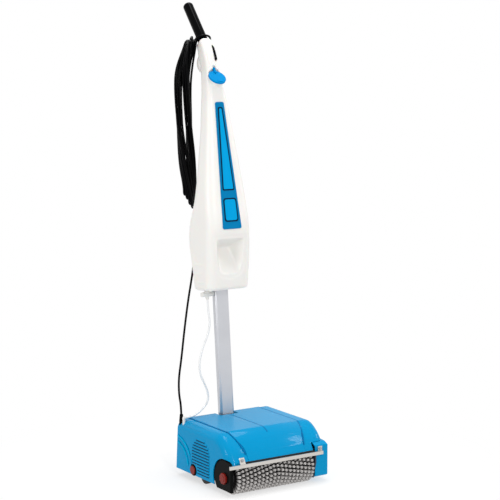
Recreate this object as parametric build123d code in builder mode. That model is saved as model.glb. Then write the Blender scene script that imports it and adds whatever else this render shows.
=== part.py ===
from build123d import *
import os
from math import acos, ceil, cos, degrees, dist, radians, sin, sqrt, tan

os.makedirs("parts", exist_ok=True)

# Millimetres. The floor is Z = 0, the brush is at the front (-Y) and X runs along the brush.
# brush_x is the middle of hood and handle. The brush lies to the left of it, because the belt needs room.
brush_x = -5.0
brush_y = -200.5
brush_length = 262.0
brush_offset = -9.0
brush_axis_z = 48.0
bristle_tip_radius = 47.9
core_radius = 20.0
backing = 2.0
tufts_along = 24
tufts_around = 20
tuft_along = 8.0
tuft_across = 5.0
chevron_turn = 60.0

# Welded chassis: two side plates and a belly plate.
brush_end_gap = 3.0
plate = 4.0
belly_z = 24.0
belly = 3.0
brush_opening = 46.0

# Covers: side view of the skin, as distances behind the brush's axis and heights above the floor.
cover_wall = 3.0
seam_half = 118.0
seam_nose_half = 94.0
seam_gap = 1.5
left_room = 7.0
right_room = 40.0
cover_foot_back = 259.0
cover_foot_z = 21.0
cover_top_back = 249.0
cover_top_z = 165.0
slope_top_back = 40.0
nose_back = -32.0
nose_z = 95.0
nose_angle = 60.0
nose_straight = 22.0
break_radius = 40.0
hood_break_radius = 12.0
shoulder_radius = 26.0
right_shoulder_radius = 25.0
rear_edge_radius = 6.0
notch_half = 31.5
notch_front_back = 212.0
notch_floor_z = 118.0

# Wheels and axle.
axle_back = 160.0
axle_z = 35.0
axle_radius = 6.0
rear_wheel_radius = 35.0
rear_hub_radius = 27.0
rear_wheel_width = 20.0
rear_wheel_in = 33.0
small_wheel_radius = 21.0
small_wheel_width = 14.0
small_wheel_back = 126.0
wheel_pin_radius = 3.0
running = 0.05

# Drive: motor across the machine, belt on the right-hand side.
motor_back = 108.0
motor_z = 100.0
motor_radius = 45.0
motor_shaft_radius = 7.0
drive_shaft_radius = 7.5
bearing_radius = 16.0
brush_pulley_radius = 27.0
motor_pulley_radius = 12.0
pulley_flange = 2.5
pulley_gap = 12.0
pulley_width = 22.0
belt_gap = 0.3
belt_thickness = 3.5
belt_width = 17.0
belt_cover_depth = 45.0

# Brush end plate and knob, on the left-hand side.
end_plate_radius = 52.0
end_plate_front = 33.5
end_plate = 8.0
end_plate_foot_z = 13.0
stub_radius = 6.0
bush_radius = 10.0
boss_radius = 16.0
knob_radius = 16.0
knob_height = 6.0
knob_spindle_radius = 5.0

# Handle: everything on it is placed by (across, rearward, along) in a frame that leans back.
lean = 5.0
handle = Plane(origin=(brush_x, brush_y + 232.4, 169.5), x_dir=(1, 0, 0),
               z_dir=(0, sin(radians(lean)), cos(radians(lean))))
pivot_s = -38.0
pivot_radius = 6.0
column_wide = 47.0
column_deep = 20.0
column_wall = 2.0
column_start_s = -20.0
column_end_s = 490.0
tank_wall = 3.4
tank_bottom_radius = 10.0
neck_end_radius = 7.0
grip_n = 25.0
grip_s = 1082.0
grip_tilt = 34.2
grip_length = 141.0
grip_radius = 15.0
grip_tube_radius = 11.0
cap_n = -39.0
cap_s = 971.5
cap_tilt = 45.0
cap_radius = 26.5
cap_thickness = 6.0
spout_radius = 20.0
mouth_radius = 15.5
mouth_depth = 32.0
trigger_n = -5.0
trigger_s = 1060.0
trigger_width = 6.0
trigger_x = 10.0
trigger_pin_length = 16.0

# Cables and hose.
cord_radius = 3.1
hose_radius = 3.0
hank_inside = 6.4
hank_pitch = 6.9
wrap_gap = 3.4

brush_middle = brush_x + brush_offset
left_inner = brush_middle - brush_length / 2 - brush_end_gap
right_inner = brush_middle + brush_length / 2 + brush_end_gap
left_face = left_inner - plate
right_face = right_inner + plate
left_cover = left_face - left_room - cover_wall
right_cover = right_face + right_room + cover_wall
slope_along = (cos(radians(nose_angle)), sin(radians(nose_angle)))
slope_out = (-slope_along[1], slope_along[0])
axle_y = brush_y + axle_back
motor_y = brush_y + motor_back
small_wheel_y = brush_y + small_wheel_back


def back(points):
    """Side-view points given behind the brush's axis, as points of the machine."""
    return [(brush_y + y, z) for y, z in points]


def block(low, high, mode=Mode.ADD):
    """A box between two opposite corners."""
    with Locations(tuple((a + b) / 2 for a, b in zip(low, high))):
        Box(*[b - a for a, b in zip(low, high)], mode=mode)


def rod(radius, start, end, y, z, mode=Mode.ADD):
    """A round bar along X."""
    with Locations(Location(((start + end) / 2, y, z), (0, 90, 0))):
        Cylinder(radius, end - start, mode=mode)


def at(x, n, s):
    """A point of the handle."""
    return handle.from_local_coords(Vector(x, n, s))


def tilted(n, s, tilt):
    """A plane across the handle, tilted rearward from its axis."""
    angle = radians(lean + tilt)
    return Plane(origin=at(0, n, s), x_dir=(1, 0, 0), z_dir=(0, sin(angle), cos(angle)))


pieces = {}

# Brush: a plastic core with a driving socket, a stub at the free end and tufts in a chevron.
core_half = brush_length / 2 - 1
stub_hole = 25.0
dog_flats = 22.0
dog_length = 10.0
socket_gap = 0.2

with BuildPart() as brush_core:
    rod(core_radius, brush_middle - core_half, brush_middle + core_half, brush_y, brush_axis_z)
    with BuildSketch(Plane.YZ.offset(brush_middle + core_half)):
        with Locations((brush_y, brush_axis_z)):
            RegularPolygon(dog_flats / 2 + socket_gap, 6, major_radius=False)
    extrude(amount=-(dog_length + socket_gap), mode=Mode.SUBTRACT)
    rod(stub_radius, brush_middle - core_half, brush_middle - core_half + stub_hole, brush_y, brush_axis_z,
        Mode.SUBTRACT)
pieces["brush_core"] = brush_core

tuft_root = core_radius + backing / 2
tuft_pitch = brush_length / tufts_along
tuft_places = []
for row in range(tufts_along):
    tuft_x = (row + 0.5) * tuft_pitch - brush_length / 2
    turn = chevron_turn * abs(tuft_x) / (brush_length / 2)
    for step in range(tufts_around):
        place = Location((brush_middle + tuft_x, brush_y, brush_axis_z), (turn + step * 360 / tufts_around, 0, 0))
        tuft_places.append(place * Location((0, 0, tuft_root)))

with BuildPart() as brush_bristles:
    rod(core_radius + backing, brush_middle - core_half, brush_middle + core_half, brush_y, brush_axis_z)
    rod(core_radius, brush_middle - core_half, brush_middle + core_half, brush_y, brush_axis_z, Mode.SUBTRACT)
    with Locations(*tuft_places):
        Box(tuft_along, tuft_across, bristle_tip_radius - tuft_root,
            align=(Align.CENTER, Align.CENTER, Align.MIN))
pieces["brush_bristles"] = brush_bristles

stub_end = left_face - 1.5
with BuildPart() as brush_stub:
    rod(stub_radius, stub_end, brush_middle - core_half + stub_hole, brush_y, brush_axis_z)
pieces["brush_stub"] = brush_stub

# Drive side of the brush: hexagonal dog, shaft in a bearing, pulley outside the plate.
pulley_start = right_face + pulley_gap
pulley_end = pulley_start + pulley_width
bearing_start = right_inner - 1.5

with BuildPart() as brush_drive_shaft:
    rod(drive_shaft_radius, brush_middle + core_half - dog_length, pulley_end, brush_y, brush_axis_z)
    with BuildSketch(Plane.YZ.offset(brush_middle + core_half - dog_length)):
        with Locations((brush_y, brush_axis_z)):
            RegularPolygon(dog_flats / 2, 6, major_radius=False)
    extrude(amount=dog_length)
pieces["brush_drive_shaft"] = brush_drive_shaft

with BuildPart() as brush_bearing:
    rod(bearing_radius, bearing_start, right_face, brush_y, brush_axis_z)
    rod(drive_shaft_radius + running, bearing_start, right_face, brush_y, brush_axis_z, Mode.SUBTRACT)
pieces["brush_bearing"] = brush_bearing

for pulley_name, radius, bore, y, z in (
    ("brush_pulley", brush_pulley_radius, drive_shaft_radius, brush_y, brush_axis_z),
    ("motor_pulley", motor_pulley_radius, motor_shaft_radius, motor_y, motor_z),
):
    with BuildPart() as pulley:
        rod(radius, pulley_start, pulley_end, y, z)
        rod(radius + pulley_flange, pulley_start, pulley_start + 1.5, y, z)
        rod(radius + pulley_flange, pulley_end - 1.5, pulley_end, y, z)
        rod(bore, pulley_start, pulley_end, y, z, Mode.SUBTRACT)
    pieces[pulley_name] = pulley

belt_start = (pulley_start + pulley_end - belt_width) / 2
with BuildPart() as drive_belt:
    for grow, mode in ((belt_gap + belt_thickness, Mode.ADD), (belt_gap, Mode.SUBTRACT)):
        with BuildSketch(Plane.YZ.offset(belt_start)):
            with Locations((brush_y, brush_axis_z)):
                Circle(brush_pulley_radius + grow)
            with Locations((motor_y, motor_z)):
                Circle(motor_pulley_radius + grow)
            make_hull()
        extrude(amount=belt_width, mode=mode)
pieces["drive_belt"] = drive_belt

# Motor across the machine, held by a flange on the right-hand plate.
motor_flange_start = right_inner - 18
motor_flange_radius = 40.0
motor_spigot_radius = 20.0
motor_screw_circle = 32.0
with BuildPart() as motor_body:
    rod(motor_radius, brush_x - 40, motor_flange_start, motor_y, motor_z)
    chamfer(motor_body.edges().filter_by(GeomType.CIRCLE), 4)
    for rib in range(5):
        rib_x = brush_x + 20 + 17 * rib
        rod(motor_radius + 3, rib_x, rib_x + 5, motor_y, motor_z)
    rod(motor_shaft_radius + 0.3, motor_flange_start - 39.7, motor_flange_start, motor_y, motor_z,
        Mode.SUBTRACT)
pieces["motor_body"] = motor_body

screw_places = [
    (motor_y + motor_screw_circle * cos(radians(a)), motor_z + motor_screw_circle * sin(radians(a)))
    for a in (45, 135, 225, 315)
]
with BuildPart() as motor_flange:
    rod(motor_flange_radius, motor_flange_start, right_inner, motor_y, motor_z)
    rod(motor_spigot_radius, right_inner, right_face, motor_y, motor_z)
    rod(motor_shaft_radius + running, motor_flange_start, right_face, motor_y, motor_z, Mode.SUBTRACT)
    for y, z in screw_places:
        rod(2.5, right_inner - 10, right_inner, y, z, Mode.SUBTRACT)
pieces["motor_flange"] = motor_flange

with BuildPart() as motor_screws:
    for y, z in screw_places:
        rod(2.5, right_inner - 10, right_face, y, z)
pieces["motor_screws"] = motor_screws

with BuildPart() as motor_shaft:
    rod(motor_shaft_radius, motor_flange_start - 39, pulley_end, motor_y, motor_z)
pieces["motor_shaft"] = motor_shaft

# Chassis: the left plate is open in front, so that the brush slides out; the right one carries the drive.
left_plate = back([(-14, 48), (-14, 97), (33, 143.5), (240, 144), (246, 26), (60, 26), (52, 14), (30, 14), (30, 48)])
right_plate = back([(-41, 60), (-41, 84), (-33, 84), (-24, 100), (20, 109), (44, 142), (240, 144), (246, 26),
                    (60, 26), (30, 14), (-30, 14)])
with BuildPart() as chassis:
    with BuildSketch(Plane.YZ.offset(left_face)):
        with BuildLine():
            Polyline(*left_plate, close=True)
        make_face()
        with Locations((brush_y, brush_axis_z)):
            Circle(brush_opening, mode=Mode.SUBTRACT)
        with Locations((axle_y, axle_z)):
            Circle(axle_radius, mode=Mode.SUBTRACT)
    extrude(amount=plate)
    with BuildSketch(Plane.YZ.offset(right_face)):
        with BuildLine():
            Polyline(*right_plate, close=True)
        make_face()
        with Locations((axle_y, axle_z)):
            Circle(axle_radius, mode=Mode.SUBTRACT)
        with Locations((brush_y, brush_axis_z)):
            Circle(bearing_radius, mode=Mode.SUBTRACT)
        with Locations((motor_y, motor_z)):
            Circle(motor_spigot_radius, mode=Mode.SUBTRACT)
        with Locations(*screw_places):
            Circle(2.5, mode=Mode.SUBTRACT)
    extrude(amount=-plate)
    block((left_inner, brush_y + 62, belly_z), (right_inner, brush_y + 90, belly_z + belly))
    block((left_inner + 50, brush_y + 62, belly_z), (right_inner - 50, brush_y + 240, belly_z + belly))
    block((left_inner, brush_y + 202, belly_z), (right_inner, brush_y + 240, belly_z + belly))
    block((left_inner, brush_y + 60, 138), (right_inner, brush_y + 76, 141))
pieces["chassis"] = chassis

with BuildPart() as brush_tunnel:
    with BuildSketch(Plane.YZ.offset(left_inner)):
        with Locations((brush_y, brush_axis_z)):
            Circle(55)
            Circle(53, mode=Mode.SUBTRACT)
        with BuildLine():
            Polyline(*back([(0, 48), (78, 3), (0, -40), (-90, -40), (-90, 140), (-12, 140)]), close=True)
        make_face(mode=Mode.SUBTRACT)
    extrude(amount=right_inner - left_inner)
pieces["brush_tunnel"] = brush_tunnel

# Left end of the brush: a plate that comes off with the knob, and the bush for the stub.
end_plate_face = left_face - end_plate
boss_end = left_inner + 1
with BuildPart() as brush_end_plate:
    with BuildSketch(Plane.YZ.offset(left_face)):
        with Locations((brush_y, brush_axis_z)):
            Circle(end_plate_radius)
        with Locations((brush_y, end_plate_foot_z - 20)):
            Rectangle(3 * end_plate_radius, 40, mode=Mode.SUBTRACT)
        with Locations((brush_y - end_plate_front - 20, brush_axis_z)):
            Rectangle(40, 3 * end_plate_radius, mode=Mode.SUBTRACT)
    extrude(amount=-end_plate)
    fillet(brush_end_plate.faces().sort_by(Axis.X)[0].edges(), 2.5)
    rod(boss_radius, left_face, boss_end, brush_y, brush_axis_z)
    rod(bush_radius, left_face, boss_end, brush_y, brush_axis_z, Mode.SUBTRACT)
    rod(stub_radius + 0.5, left_face - 2.5, left_face, brush_y, brush_axis_z, Mode.SUBTRACT)
    rod(knob_spindle_radius + running, end_plate_face, end_plate_face + 3.8, brush_y, brush_axis_z,
        Mode.SUBTRACT)
pieces["brush_end_plate"] = brush_end_plate

with BuildPart() as brush_bush:
    rod(bush_radius, left_face, boss_end, brush_y, brush_axis_z)
    rod(stub_radius + running, left_face, boss_end, brush_y, brush_axis_z, Mode.SUBTRACT)
pieces["brush_bush"] = brush_bush

knob_face = end_plate_face - 0.3
with BuildPart() as brush_knob:
    rod(knob_radius, knob_face - knob_height, knob_face, brush_y, brush_axis_z)
    with BuildSketch(Plane.YZ.offset(knob_face)):
        with Locations((brush_y, brush_axis_z)):
            with PolarLocations(knob_radius + 4, 8):
                Circle(5.5)
    extrude(amount=-knob_height, mode=Mode.SUBTRACT)
    fillet(brush_knob.faces().sort_by(Axis.X)[0].edges(), 1.5)
    rod(9, knob_face - knob_height - 1, knob_face - knob_height + 2, brush_y, brush_axis_z)
    rod(knob_spindle_radius, knob_face, end_plate_face + 3.5, brush_y, brush_axis_z)
pieces["brush_knob"] = brush_knob

# The guard bar has two tabs: one lies on the slope of the left cover, one on the front of the belt cover.
belt_front = brush_y - 36
tab_hole_at = 4.5
tab_hole_z = 98.0
tab_screw_radius = 2.0
tab_right_x = brush_x + 144
left_hole = back([(nose_back + tab_hole_at * slope_along[0], nose_z + tab_hole_at * slope_along[1])])[0]
tab_planes = [
    Plane(origin=(brush_x - 116, *left_hole), x_dir=(1, 0, 0), z_dir=(0, *slope_out)),
    Plane(origin=(tab_right_x, belt_front, tab_hole_z), x_dir=(1, 0, 0), z_dir=(0, -1, 0)),
]

# Belt cover: a tray over both pulleys, open towards the plate.
belt_outline = back([(-36, 17), (20, 10.5), (124, 79), (131, 92), (131, 112), (120, 123), (60, 122), (-20, 114),
                     (-36, 107)])
with BuildPart() as belt_cover:
    with BuildSketch(Plane.YZ.offset(right_face)) as belt_face:
        with BuildLine():
            Polyline(*belt_outline, close=True)
        make_face()
        fillet(belt_face.vertices(), 5)
    extrude(amount=belt_cover_depth)
    fillet(belt_cover.faces().sort_by(Axis.X)[-1].edges(), 4)
    with BuildSketch(Plane.YZ.offset(right_face)):
        add(belt_face.sketch_local)
        offset(amount=-cover_wall, mode=Mode.REPLACE)
    extrude(amount=belt_cover_depth - cover_wall, mode=Mode.SUBTRACT)
    with Locations(tab_planes[1]):
        Cylinder(tab_screw_radius, 20, mode=Mode.SUBTRACT)
pieces["belt_cover"] = belt_cover

# Covers: one side profile, cut at two seams into hood, left side and right side.
foot_corner = (cover_foot_back, cover_foot_z)
top_corner = (cover_top_back, cover_top_z)
slope_corner = (slope_top_back, cover_top_z)
nose_top = (nose_back + nose_straight * slope_along[0], nose_z + nose_straight * slope_along[1])
drop = 60.0
low_nose = (nose_back - drop * slope_along[0], nose_z - drop * slope_along[1])
low_foot = (cover_foot_back + 2.8, cover_foot_z - 40)
low_front = (low_nose[0], low_foot[1])
room = 300.0


def trim_nose_and_foot():
    """Cuts the skin off straight at the nose and along the foot."""
    block((brush_x - room, brush_y - room, -room), (brush_x + room, brush_y + nose_back, 2 * room), Mode.SUBTRACT)
    block((brush_x - room, brush_y - room, -room), (brush_x + room, brush_y + 2 * room, cover_foot_z),
          Mode.SUBTRACT)


def skin_lines():
    """The side profile: straight at the nose, curving over to the break, flat on top and steep behind."""
    break_point = back([slope_corner])[0]
    Line(*back([low_nose, nose_top]))
    TangentArc(*back([nose_top]), break_point, tangent=slope_along)
    Polyline(break_point, *back([top_corner, low_foot, low_front, low_nose]))


seam_step = seam_half - seam_nose_half
seam_plan = [(seam_half, room), (seam_half, slope_top_back + 20), (seam_half - seam_step / 8, slope_top_back - 4),
             (seam_half - seam_step / 2, slope_top_back - 36), (seam_nose_half, nose_back + 4),
             (seam_nose_half, nose_back - 20)]


def between_seams(grow):
    """The hood's outline from above as a tall solid: straight along the top, drawn in down the slope."""
    right = [(brush_x + half + grow, brush_y + y) for half, y in seam_plan]
    left = [(brush_x - half - grow, brush_y + y) for half, y in seam_plan]
    with BuildPart() as tall:
        with BuildSketch(Plane.XY):
            with BuildLine():
                Line(right[0], right[1])
                Spline(*right[1:5], tangents=[(0, -1), (0, -1)])
                Line(right[4], right[5])
                Line(right[5], left[5])
                Line(left[5], left[4])
                Spline(*left[1:5], tangents=[(0, -1), (0, -1)])
                Line(left[1], left[0])
                Line(left[0], right[0])
            make_face()
        extrude(amount=room)
    return tall.part


hood_region = between_seams(-seam_gap / 2)
side_region = between_seams(seam_gap / 2)
with BuildPart() as hood:
    with BuildSketch(Plane.YZ.offset(brush_x - seam_half)) as hood_skin:
        with BuildLine():
            skin_lines()
        make_face()
        fillet(hood_skin.vertices().group_by(Axis.Y)[-1].sort_by(Axis.X)[0], hood_break_radius)
        fillet(hood_skin.vertices().group_by(Axis.Y)[-1].sort_by(Axis.X)[-1], rear_edge_radius)
        offset(amount=-cover_wall, mode=Mode.SUBTRACT)
    extrude(amount=2 * seam_half)
    trim_nose_and_foot()
    add(hood_region, mode=Mode.INTERSECT)
    block((brush_x - notch_half, brush_y + notch_front_back, notch_floor_z),
          (brush_x + notch_half, brush_y + 2 * room, cover_top_z + 5), Mode.SUBTRACT)
    block((brush_x - 1.5, brush_y + slope_top_back + 12, cover_top_z - 1),
          (brush_x + 1.5, brush_y + notch_front_back, cover_top_z + 5), Mode.SUBTRACT)
pieces["hood"] = hood



def cover_solid(seam_x, skin_x, inset, shoulder):
    """One side of the skin as a solid, rounded at shoulder and rear, with every face moved in by the inset."""
    flat_x = skin_x - inset if skin_x > seam_x else skin_x + inset
    with BuildPart() as solid:
        with BuildSketch(Plane.YZ.offset(seam_x)) as outline:
            with BuildLine():
                skin_lines()
            make_face()
            if inset:
                offset(amount=-inset, mode=Mode.REPLACE)
            fillet(outline.vertices().group_by(Axis.Y)[-1].sort_by(Axis.X)[0], break_radius - inset)
        extrude(amount=flat_x - seam_x)
        flat_edges = solid.edges().filter_by(lambda e: abs(e.center().X - flat_x) < 0.01)
        fillet(flat_edges.filter_by(lambda e: e.center().Z > 50 and e.center().Y < brush_y + 240)
               .filter_by(lambda e: e.bounding_box().max.Z > nose_z), shoulder - inset)
        fillet(solid.edges().filter_by(lambda e: e.center().Y > brush_y + 240 and e.bounding_box().max.Z > 60
                                       and abs(e.center().X - seam_x) > 0.01), rear_edge_radius - inset)
    return solid.part


arch_radius = end_plate_radius + 3
axle_bush_radius = 16.5
hole_gap = 1.0
gland_place = (brush_x - 148.5, brush_y + 239)
gland_radius = 6.5
elbow_place = (brush_x - 149, brush_y + 224)
elbow_radius = 4.2
louvre_pitch = 8.6
louvre_low_z = 33.0
louvre_middle = brush_y + 120
louvre_half = 46.0
louvre_arch_z = 88.0
louvre_slot = 3.0
louvre_rise = 2.2
louvre_sheet = 1.0
louvre_count = 12
arc_centre = (brush_y + 254, 33.0)
arc_radii = (67.5, 85.5)
arc_width = 3.0
arc_height = 1.2

louvre_slots = []
for step in range(louvre_count):
    slot_z = louvre_low_z + step * louvre_pitch
    reach = louvre_half if slot_z < louvre_arch_z else sqrt(louvre_half**2 - (slot_z - louvre_arch_z)**2)
    slot_rear = louvre_middle + reach
    if slot_z < axle_z + axle_bush_radius + 6:
        slot_rear = axle_y - axle_bush_radius - 6
    louvre_slots.append((louvre_middle - reach, slot_rear, slot_z))

left_outer = cover_solid(brush_x - seam_nose_half, left_cover, 0, shoulder_radius)
left_hollow = cover_solid(brush_x - seam_nose_half, left_cover, cover_wall, shoulder_radius)
with BuildPart() as left_side_cover:
    add(left_outer)
    with BuildSketch(Plane.YZ.offset(left_cover)):
        with Locations(arc_centre):
            for radius in arc_radii:
                Circle(radius + arc_width / 2)
                Circle(radius - arc_width / 2, mode=Mode.SUBTRACT)
        with Locations((brush_y + 206, 84)):
            Rectangle(80, 112, mode=Mode.INTERSECT)
    extrude(amount=-arc_height)
    add(left_hollow, mode=Mode.SUBTRACT)
    trim_nose_and_foot()
    add(side_region, mode=Mode.SUBTRACT)
    rod(arch_radius, left_cover - 10, left_face, brush_y, brush_axis_z, Mode.SUBTRACT)
    rod(axle_bush_radius + hole_gap, left_cover - 10, left_face, axle_y, axle_z, Mode.SUBTRACT)
    for slot_front, slot_rear, slot_z in louvre_slots:
        lip = left_cover - louvre_rise
        with BuildSketch(Plane(origin=(0, slot_front, 0), x_dir=(1, 0, 0), z_dir=(0, 1, 0))):
            with BuildLine():
                Polyline((left_cover + 1, -slot_z - louvre_slot - 3.6), (left_cover, -slot_z - louvre_slot - 3.6),
                         (lip, -slot_z - 1), (left_cover + 1, -slot_z - 1), close=True)
            make_face()
        extrude(amount=slot_rear - slot_front)
        block((lip + louvre_sheet, slot_front + 1, slot_z), (left_face, slot_rear - 1, slot_z + louvre_slot),
              Mode.SUBTRACT)
    with Locations((*gland_place, 170)):
        Cylinder(gland_radius, 60, mode=Mode.SUBTRACT)
    with Locations((*elbow_place, 170)):
        Cylinder(elbow_radius, 60, mode=Mode.SUBTRACT)
    with Locations(tab_planes[0]):
        Cylinder(tab_screw_radius, 20, mode=Mode.SUBTRACT)
pieces["left_side_cover"] = left_side_cover

right_outer = cover_solid(brush_x + seam_nose_half, right_cover, 0, right_shoulder_radius)
right_hollow = cover_solid(brush_x + seam_nose_half, right_cover, cover_wall, right_shoulder_radius)
with BuildPart() as right_side_cover:
    add(right_outer)
    add(right_hollow, mode=Mode.SUBTRACT)
    trim_nose_and_foot()
    add(side_region, mode=Mode.SUBTRACT)
    with BuildSketch(Plane.YZ.offset(right_inner - hole_gap)):
        add(belt_face.sketch_local)
        offset(amount=hole_gap, mode=Mode.REPLACE)
    extrude(amount=right_cover + 5 - right_inner, mode=Mode.SUBTRACT)
    block((right_inner, brush_y - 40, 0), (right_cover + 5, brush_y - 20, 40), Mode.SUBTRACT)
pieces["right_side_cover"] = right_side_cover

# Guard bar across the front, with its two tabs, and the rubber strip behind it.
bar_low_z = 82.0
bar_high_z = 92.0
bar_front = brush_y - 45
bar_rear = brush_y - 41
tab_half = 8.5
tab_thickness = 2.5
tab_low = -17.0
tab_high = 12.5
tab_top_z = 105.0


def on_slope(along, out):
    """A side-view point on the cover's slope, measured from the nose."""
    return (brush_y + nose_back + along * slope_along[0] + out * slope_out[0],
            nose_z + along * slope_along[1] + out * slope_out[1])


with BuildPart() as guard_bar:
    block((brush_x - 164, bar_front, bar_low_z), (brush_x + 151, bar_rear, bar_high_z))
    with BuildSketch(Plane.YZ.offset(tab_planes[0].origin.X - tab_half)):
        with BuildLine():
            Polyline(on_slope(tab_low, 0), on_slope(tab_high, 0), on_slope(tab_high, tab_thickness),
                     on_slope(tab_low, tab_thickness), close=True)
        make_face()
    extrude(amount=2 * tab_half)
    block((tab_right_x - 7, bar_rear, bar_low_z), (tab_right_x + 7, belt_front, bar_high_z))
    block((tab_right_x - 7, belt_front - tab_thickness, bar_low_z), (tab_right_x + 7, belt_front, tab_top_z))
    for tab in tab_planes:
        with Locations(tab):
            Cylinder(tab_screw_radius, 20, mode=Mode.SUBTRACT)
pieces["guard_bar"] = guard_bar

with BuildPart() as guard_screws:
    for tab in tab_planes:
        with Locations(tab):
            Cylinder(tab_screw_radius, cover_wall + 1, align=(Align.CENTER, Align.CENTER, Align.MAX))
            Cylinder(tab_screw_radius, tab_thickness, align=(Align.CENTER, Align.CENTER, Align.MIN))
        with Locations(tab.offset(tab_thickness)):
            Cylinder(4.5, 2.5, align=(Align.CENTER, Align.CENTER, Align.MIN))
pieces["guard_screws"] = guard_screws

with BuildPart() as splash_strip:
    block((brush_x - 106, brush_y - 35, 87), (right_inner, brush_y - 32, 95))
pieces["splash_strip"] = splash_strip

# Rear axle with its wheels, and the bush and cap that show at the left.
axle_end = left_face - 6
with BuildPart() as rear_axle:
    rod(axle_radius, axle_end, right_face, axle_y, axle_z)
pieces["rear_axle"] = rear_axle

axle_bush_end = left_cover - 2
axle_cap_radius = 12.5
with BuildPart() as axle_bush:
    rod(axle_bush_radius, axle_bush_end, left_face, axle_y, axle_z)
    fillet(axle_bush.faces().sort_by(Axis.X)[0].edges(), 3)
    rod(axle_radius, axle_end, left_face, axle_y, axle_z, Mode.SUBTRACT)
pieces["axle_bush"] = axle_bush

with BuildPart() as axle_cap:
    rod(axle_cap_radius, axle_bush_end - 2.5, axle_bush_end, axle_y, axle_z)
    fillet(axle_cap.faces().sort_by(Axis.X)[0].edges(), 1.5)
pieces["axle_cap"] = axle_cap

wheel_places = {"left": left_inner + rear_wheel_in, "right": right_inner - rear_wheel_in}
for side_name, wheel_x in wheel_places.items():
    wheel_low = wheel_x - rear_wheel_width / 2
    wheel_high = wheel_low + rear_wheel_width
    with BuildPart() as rear_hub:
        rod(rear_hub_radius, wheel_low, wheel_high, axle_y, axle_z)
        rod(axle_radius + running, wheel_low, wheel_high, axle_y, axle_z, Mode.SUBTRACT)
    pieces[f"rear_hub_{side_name}"] = rear_hub
    with BuildPart() as rear_tyre:
        rod(rear_wheel_radius, wheel_low, wheel_high, axle_y, axle_z)
        fillet(rear_tyre.edges().filter_by(GeomType.CIRCLE), 3)
        rod(rear_hub_radius, wheel_low, wheel_high, axle_y, axle_z, Mode.SUBTRACT)
    pieces[f"rear_tyre_{side_name}"] = rear_tyre

with BuildPart() as axle_clips:
    for wheel_x in wheel_places.values():
        for gap_side in (-1, 1):
            near = wheel_x + gap_side * (rear_wheel_width / 2 + 0.4)
            low, high = sorted((near, near + gap_side * 2))
            rod(axle_radius + 4, low, high, axle_y, axle_z)
            rod(axle_radius, low, high, axle_y, axle_z, Mode.SUBTRACT)
pieces["axle_clips"] = axle_clips

# Two small wheels in forks on the plates' inner faces.
cheek = 2.0
cheek_gap = 1.0
fork_top_z = 46.0
fork_half = small_wheel_width / 2 + cheek_gap + cheek
small_places = {"left": left_inner + fork_half, "right": right_inner - fork_half}
for side_name, middle in small_places.items():
    with BuildPart() as wheel_fork:
        for cheek_side in (-1, 1):
            near = middle + cheek_side * (small_wheel_width / 2 + cheek_gap)
            low, high = sorted((near, near + cheek_side * cheek))
            with BuildSketch(Plane.YZ.offset(low)):
                with Locations((small_wheel_y, small_wheel_radius)):
                    Circle(8)
                with Locations((small_wheel_y, fork_top_z + 1)):
                    Rectangle(24, 2)
                make_hull()
                with Locations((small_wheel_y, small_wheel_radius)):
                    Circle(wheel_pin_radius, mode=Mode.SUBTRACT)
            extrude(amount=cheek)
        block((middle - fork_half, small_wheel_y - 12, fork_top_z),
              (middle + fork_half, small_wheel_y + 12, fork_top_z + 2))
    pieces[f"small_fork_{side_name}"] = wheel_fork
    with BuildPart() as small_wheel:
        rod(small_wheel_radius, middle - small_wheel_width / 2, middle + small_wheel_width / 2, small_wheel_y,
            small_wheel_radius)
        fillet(small_wheel.edges().filter_by(GeomType.CIRCLE), 2)
        rod(wheel_pin_radius + running, middle - small_wheel_width / 2, middle + small_wheel_width / 2,
            small_wheel_y, small_wheel_radius, Mode.SUBTRACT)
    pieces[f"small_wheel_{side_name}"] = small_wheel

with BuildPart() as wheel_pins:
    for middle in small_places.values():
        rod(wheel_pin_radius, middle - fork_half, middle + fork_half, small_wheel_y, small_wheel_radius)
pieces["wheel_pins"] = wheel_pins

# Pivot of the handle, on a bracket welded to the belly plate.
ear_gap_half = 27.0
ear = 4.0
washer = 0.1
pivot_y = at(0, 0, pivot_s).Y
pivot_z = at(0, 0, pivot_s).Z
with BuildPart() as pivot_bracket:
    for side in (-1, 1):
        with BuildSketch(Plane.YZ.offset(brush_x + side * ear_gap_half)):
            with Locations((pivot_y, pivot_z)):
                Circle(13)
            with Locations((pivot_y - 2, belly_z + belly + 1)):
                Rectangle(40, 2)
            make_hull()
            with Locations((pivot_y, pivot_z)):
                Circle(pivot_radius, mode=Mode.SUBTRACT)
        extrude(amount=side * ear)
    block((brush_x - ear_gap_half, pivot_y - 22, belly_z + belly), (brush_x + ear_gap_half, pivot_y + 18, 30))
pieces["pivot_bracket"] = pivot_bracket

with BuildPart() as pivot_pin:
    pin_half = ear_gap_half + ear
    rod(pivot_radius, brush_x - pin_half - 2.5, brush_x + pin_half + 2.5, pivot_y, pivot_z)
    rod(pivot_radius + 3, brush_x - pin_half - 2.5, brush_x - pin_half, pivot_y, pivot_z)
    rod(pivot_radius + 3, brush_x + pin_half, brush_x + pin_half + 2.5, pivot_y, pivot_z)
pieces["pivot_pin"] = pivot_pin

with BuildPart() as pivot_washers:
    for side in (-1, 1):
        low, high = sorted((brush_x + side * (column_wide / 2 + washer), brush_x + side * ear_gap_half))
        rod(12, low, high, pivot_y, pivot_z)
        rod(pivot_radius, low, high, pivot_y, pivot_z, Mode.SUBTRACT)
pieces["pivot_washers"] = pivot_washers

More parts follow.
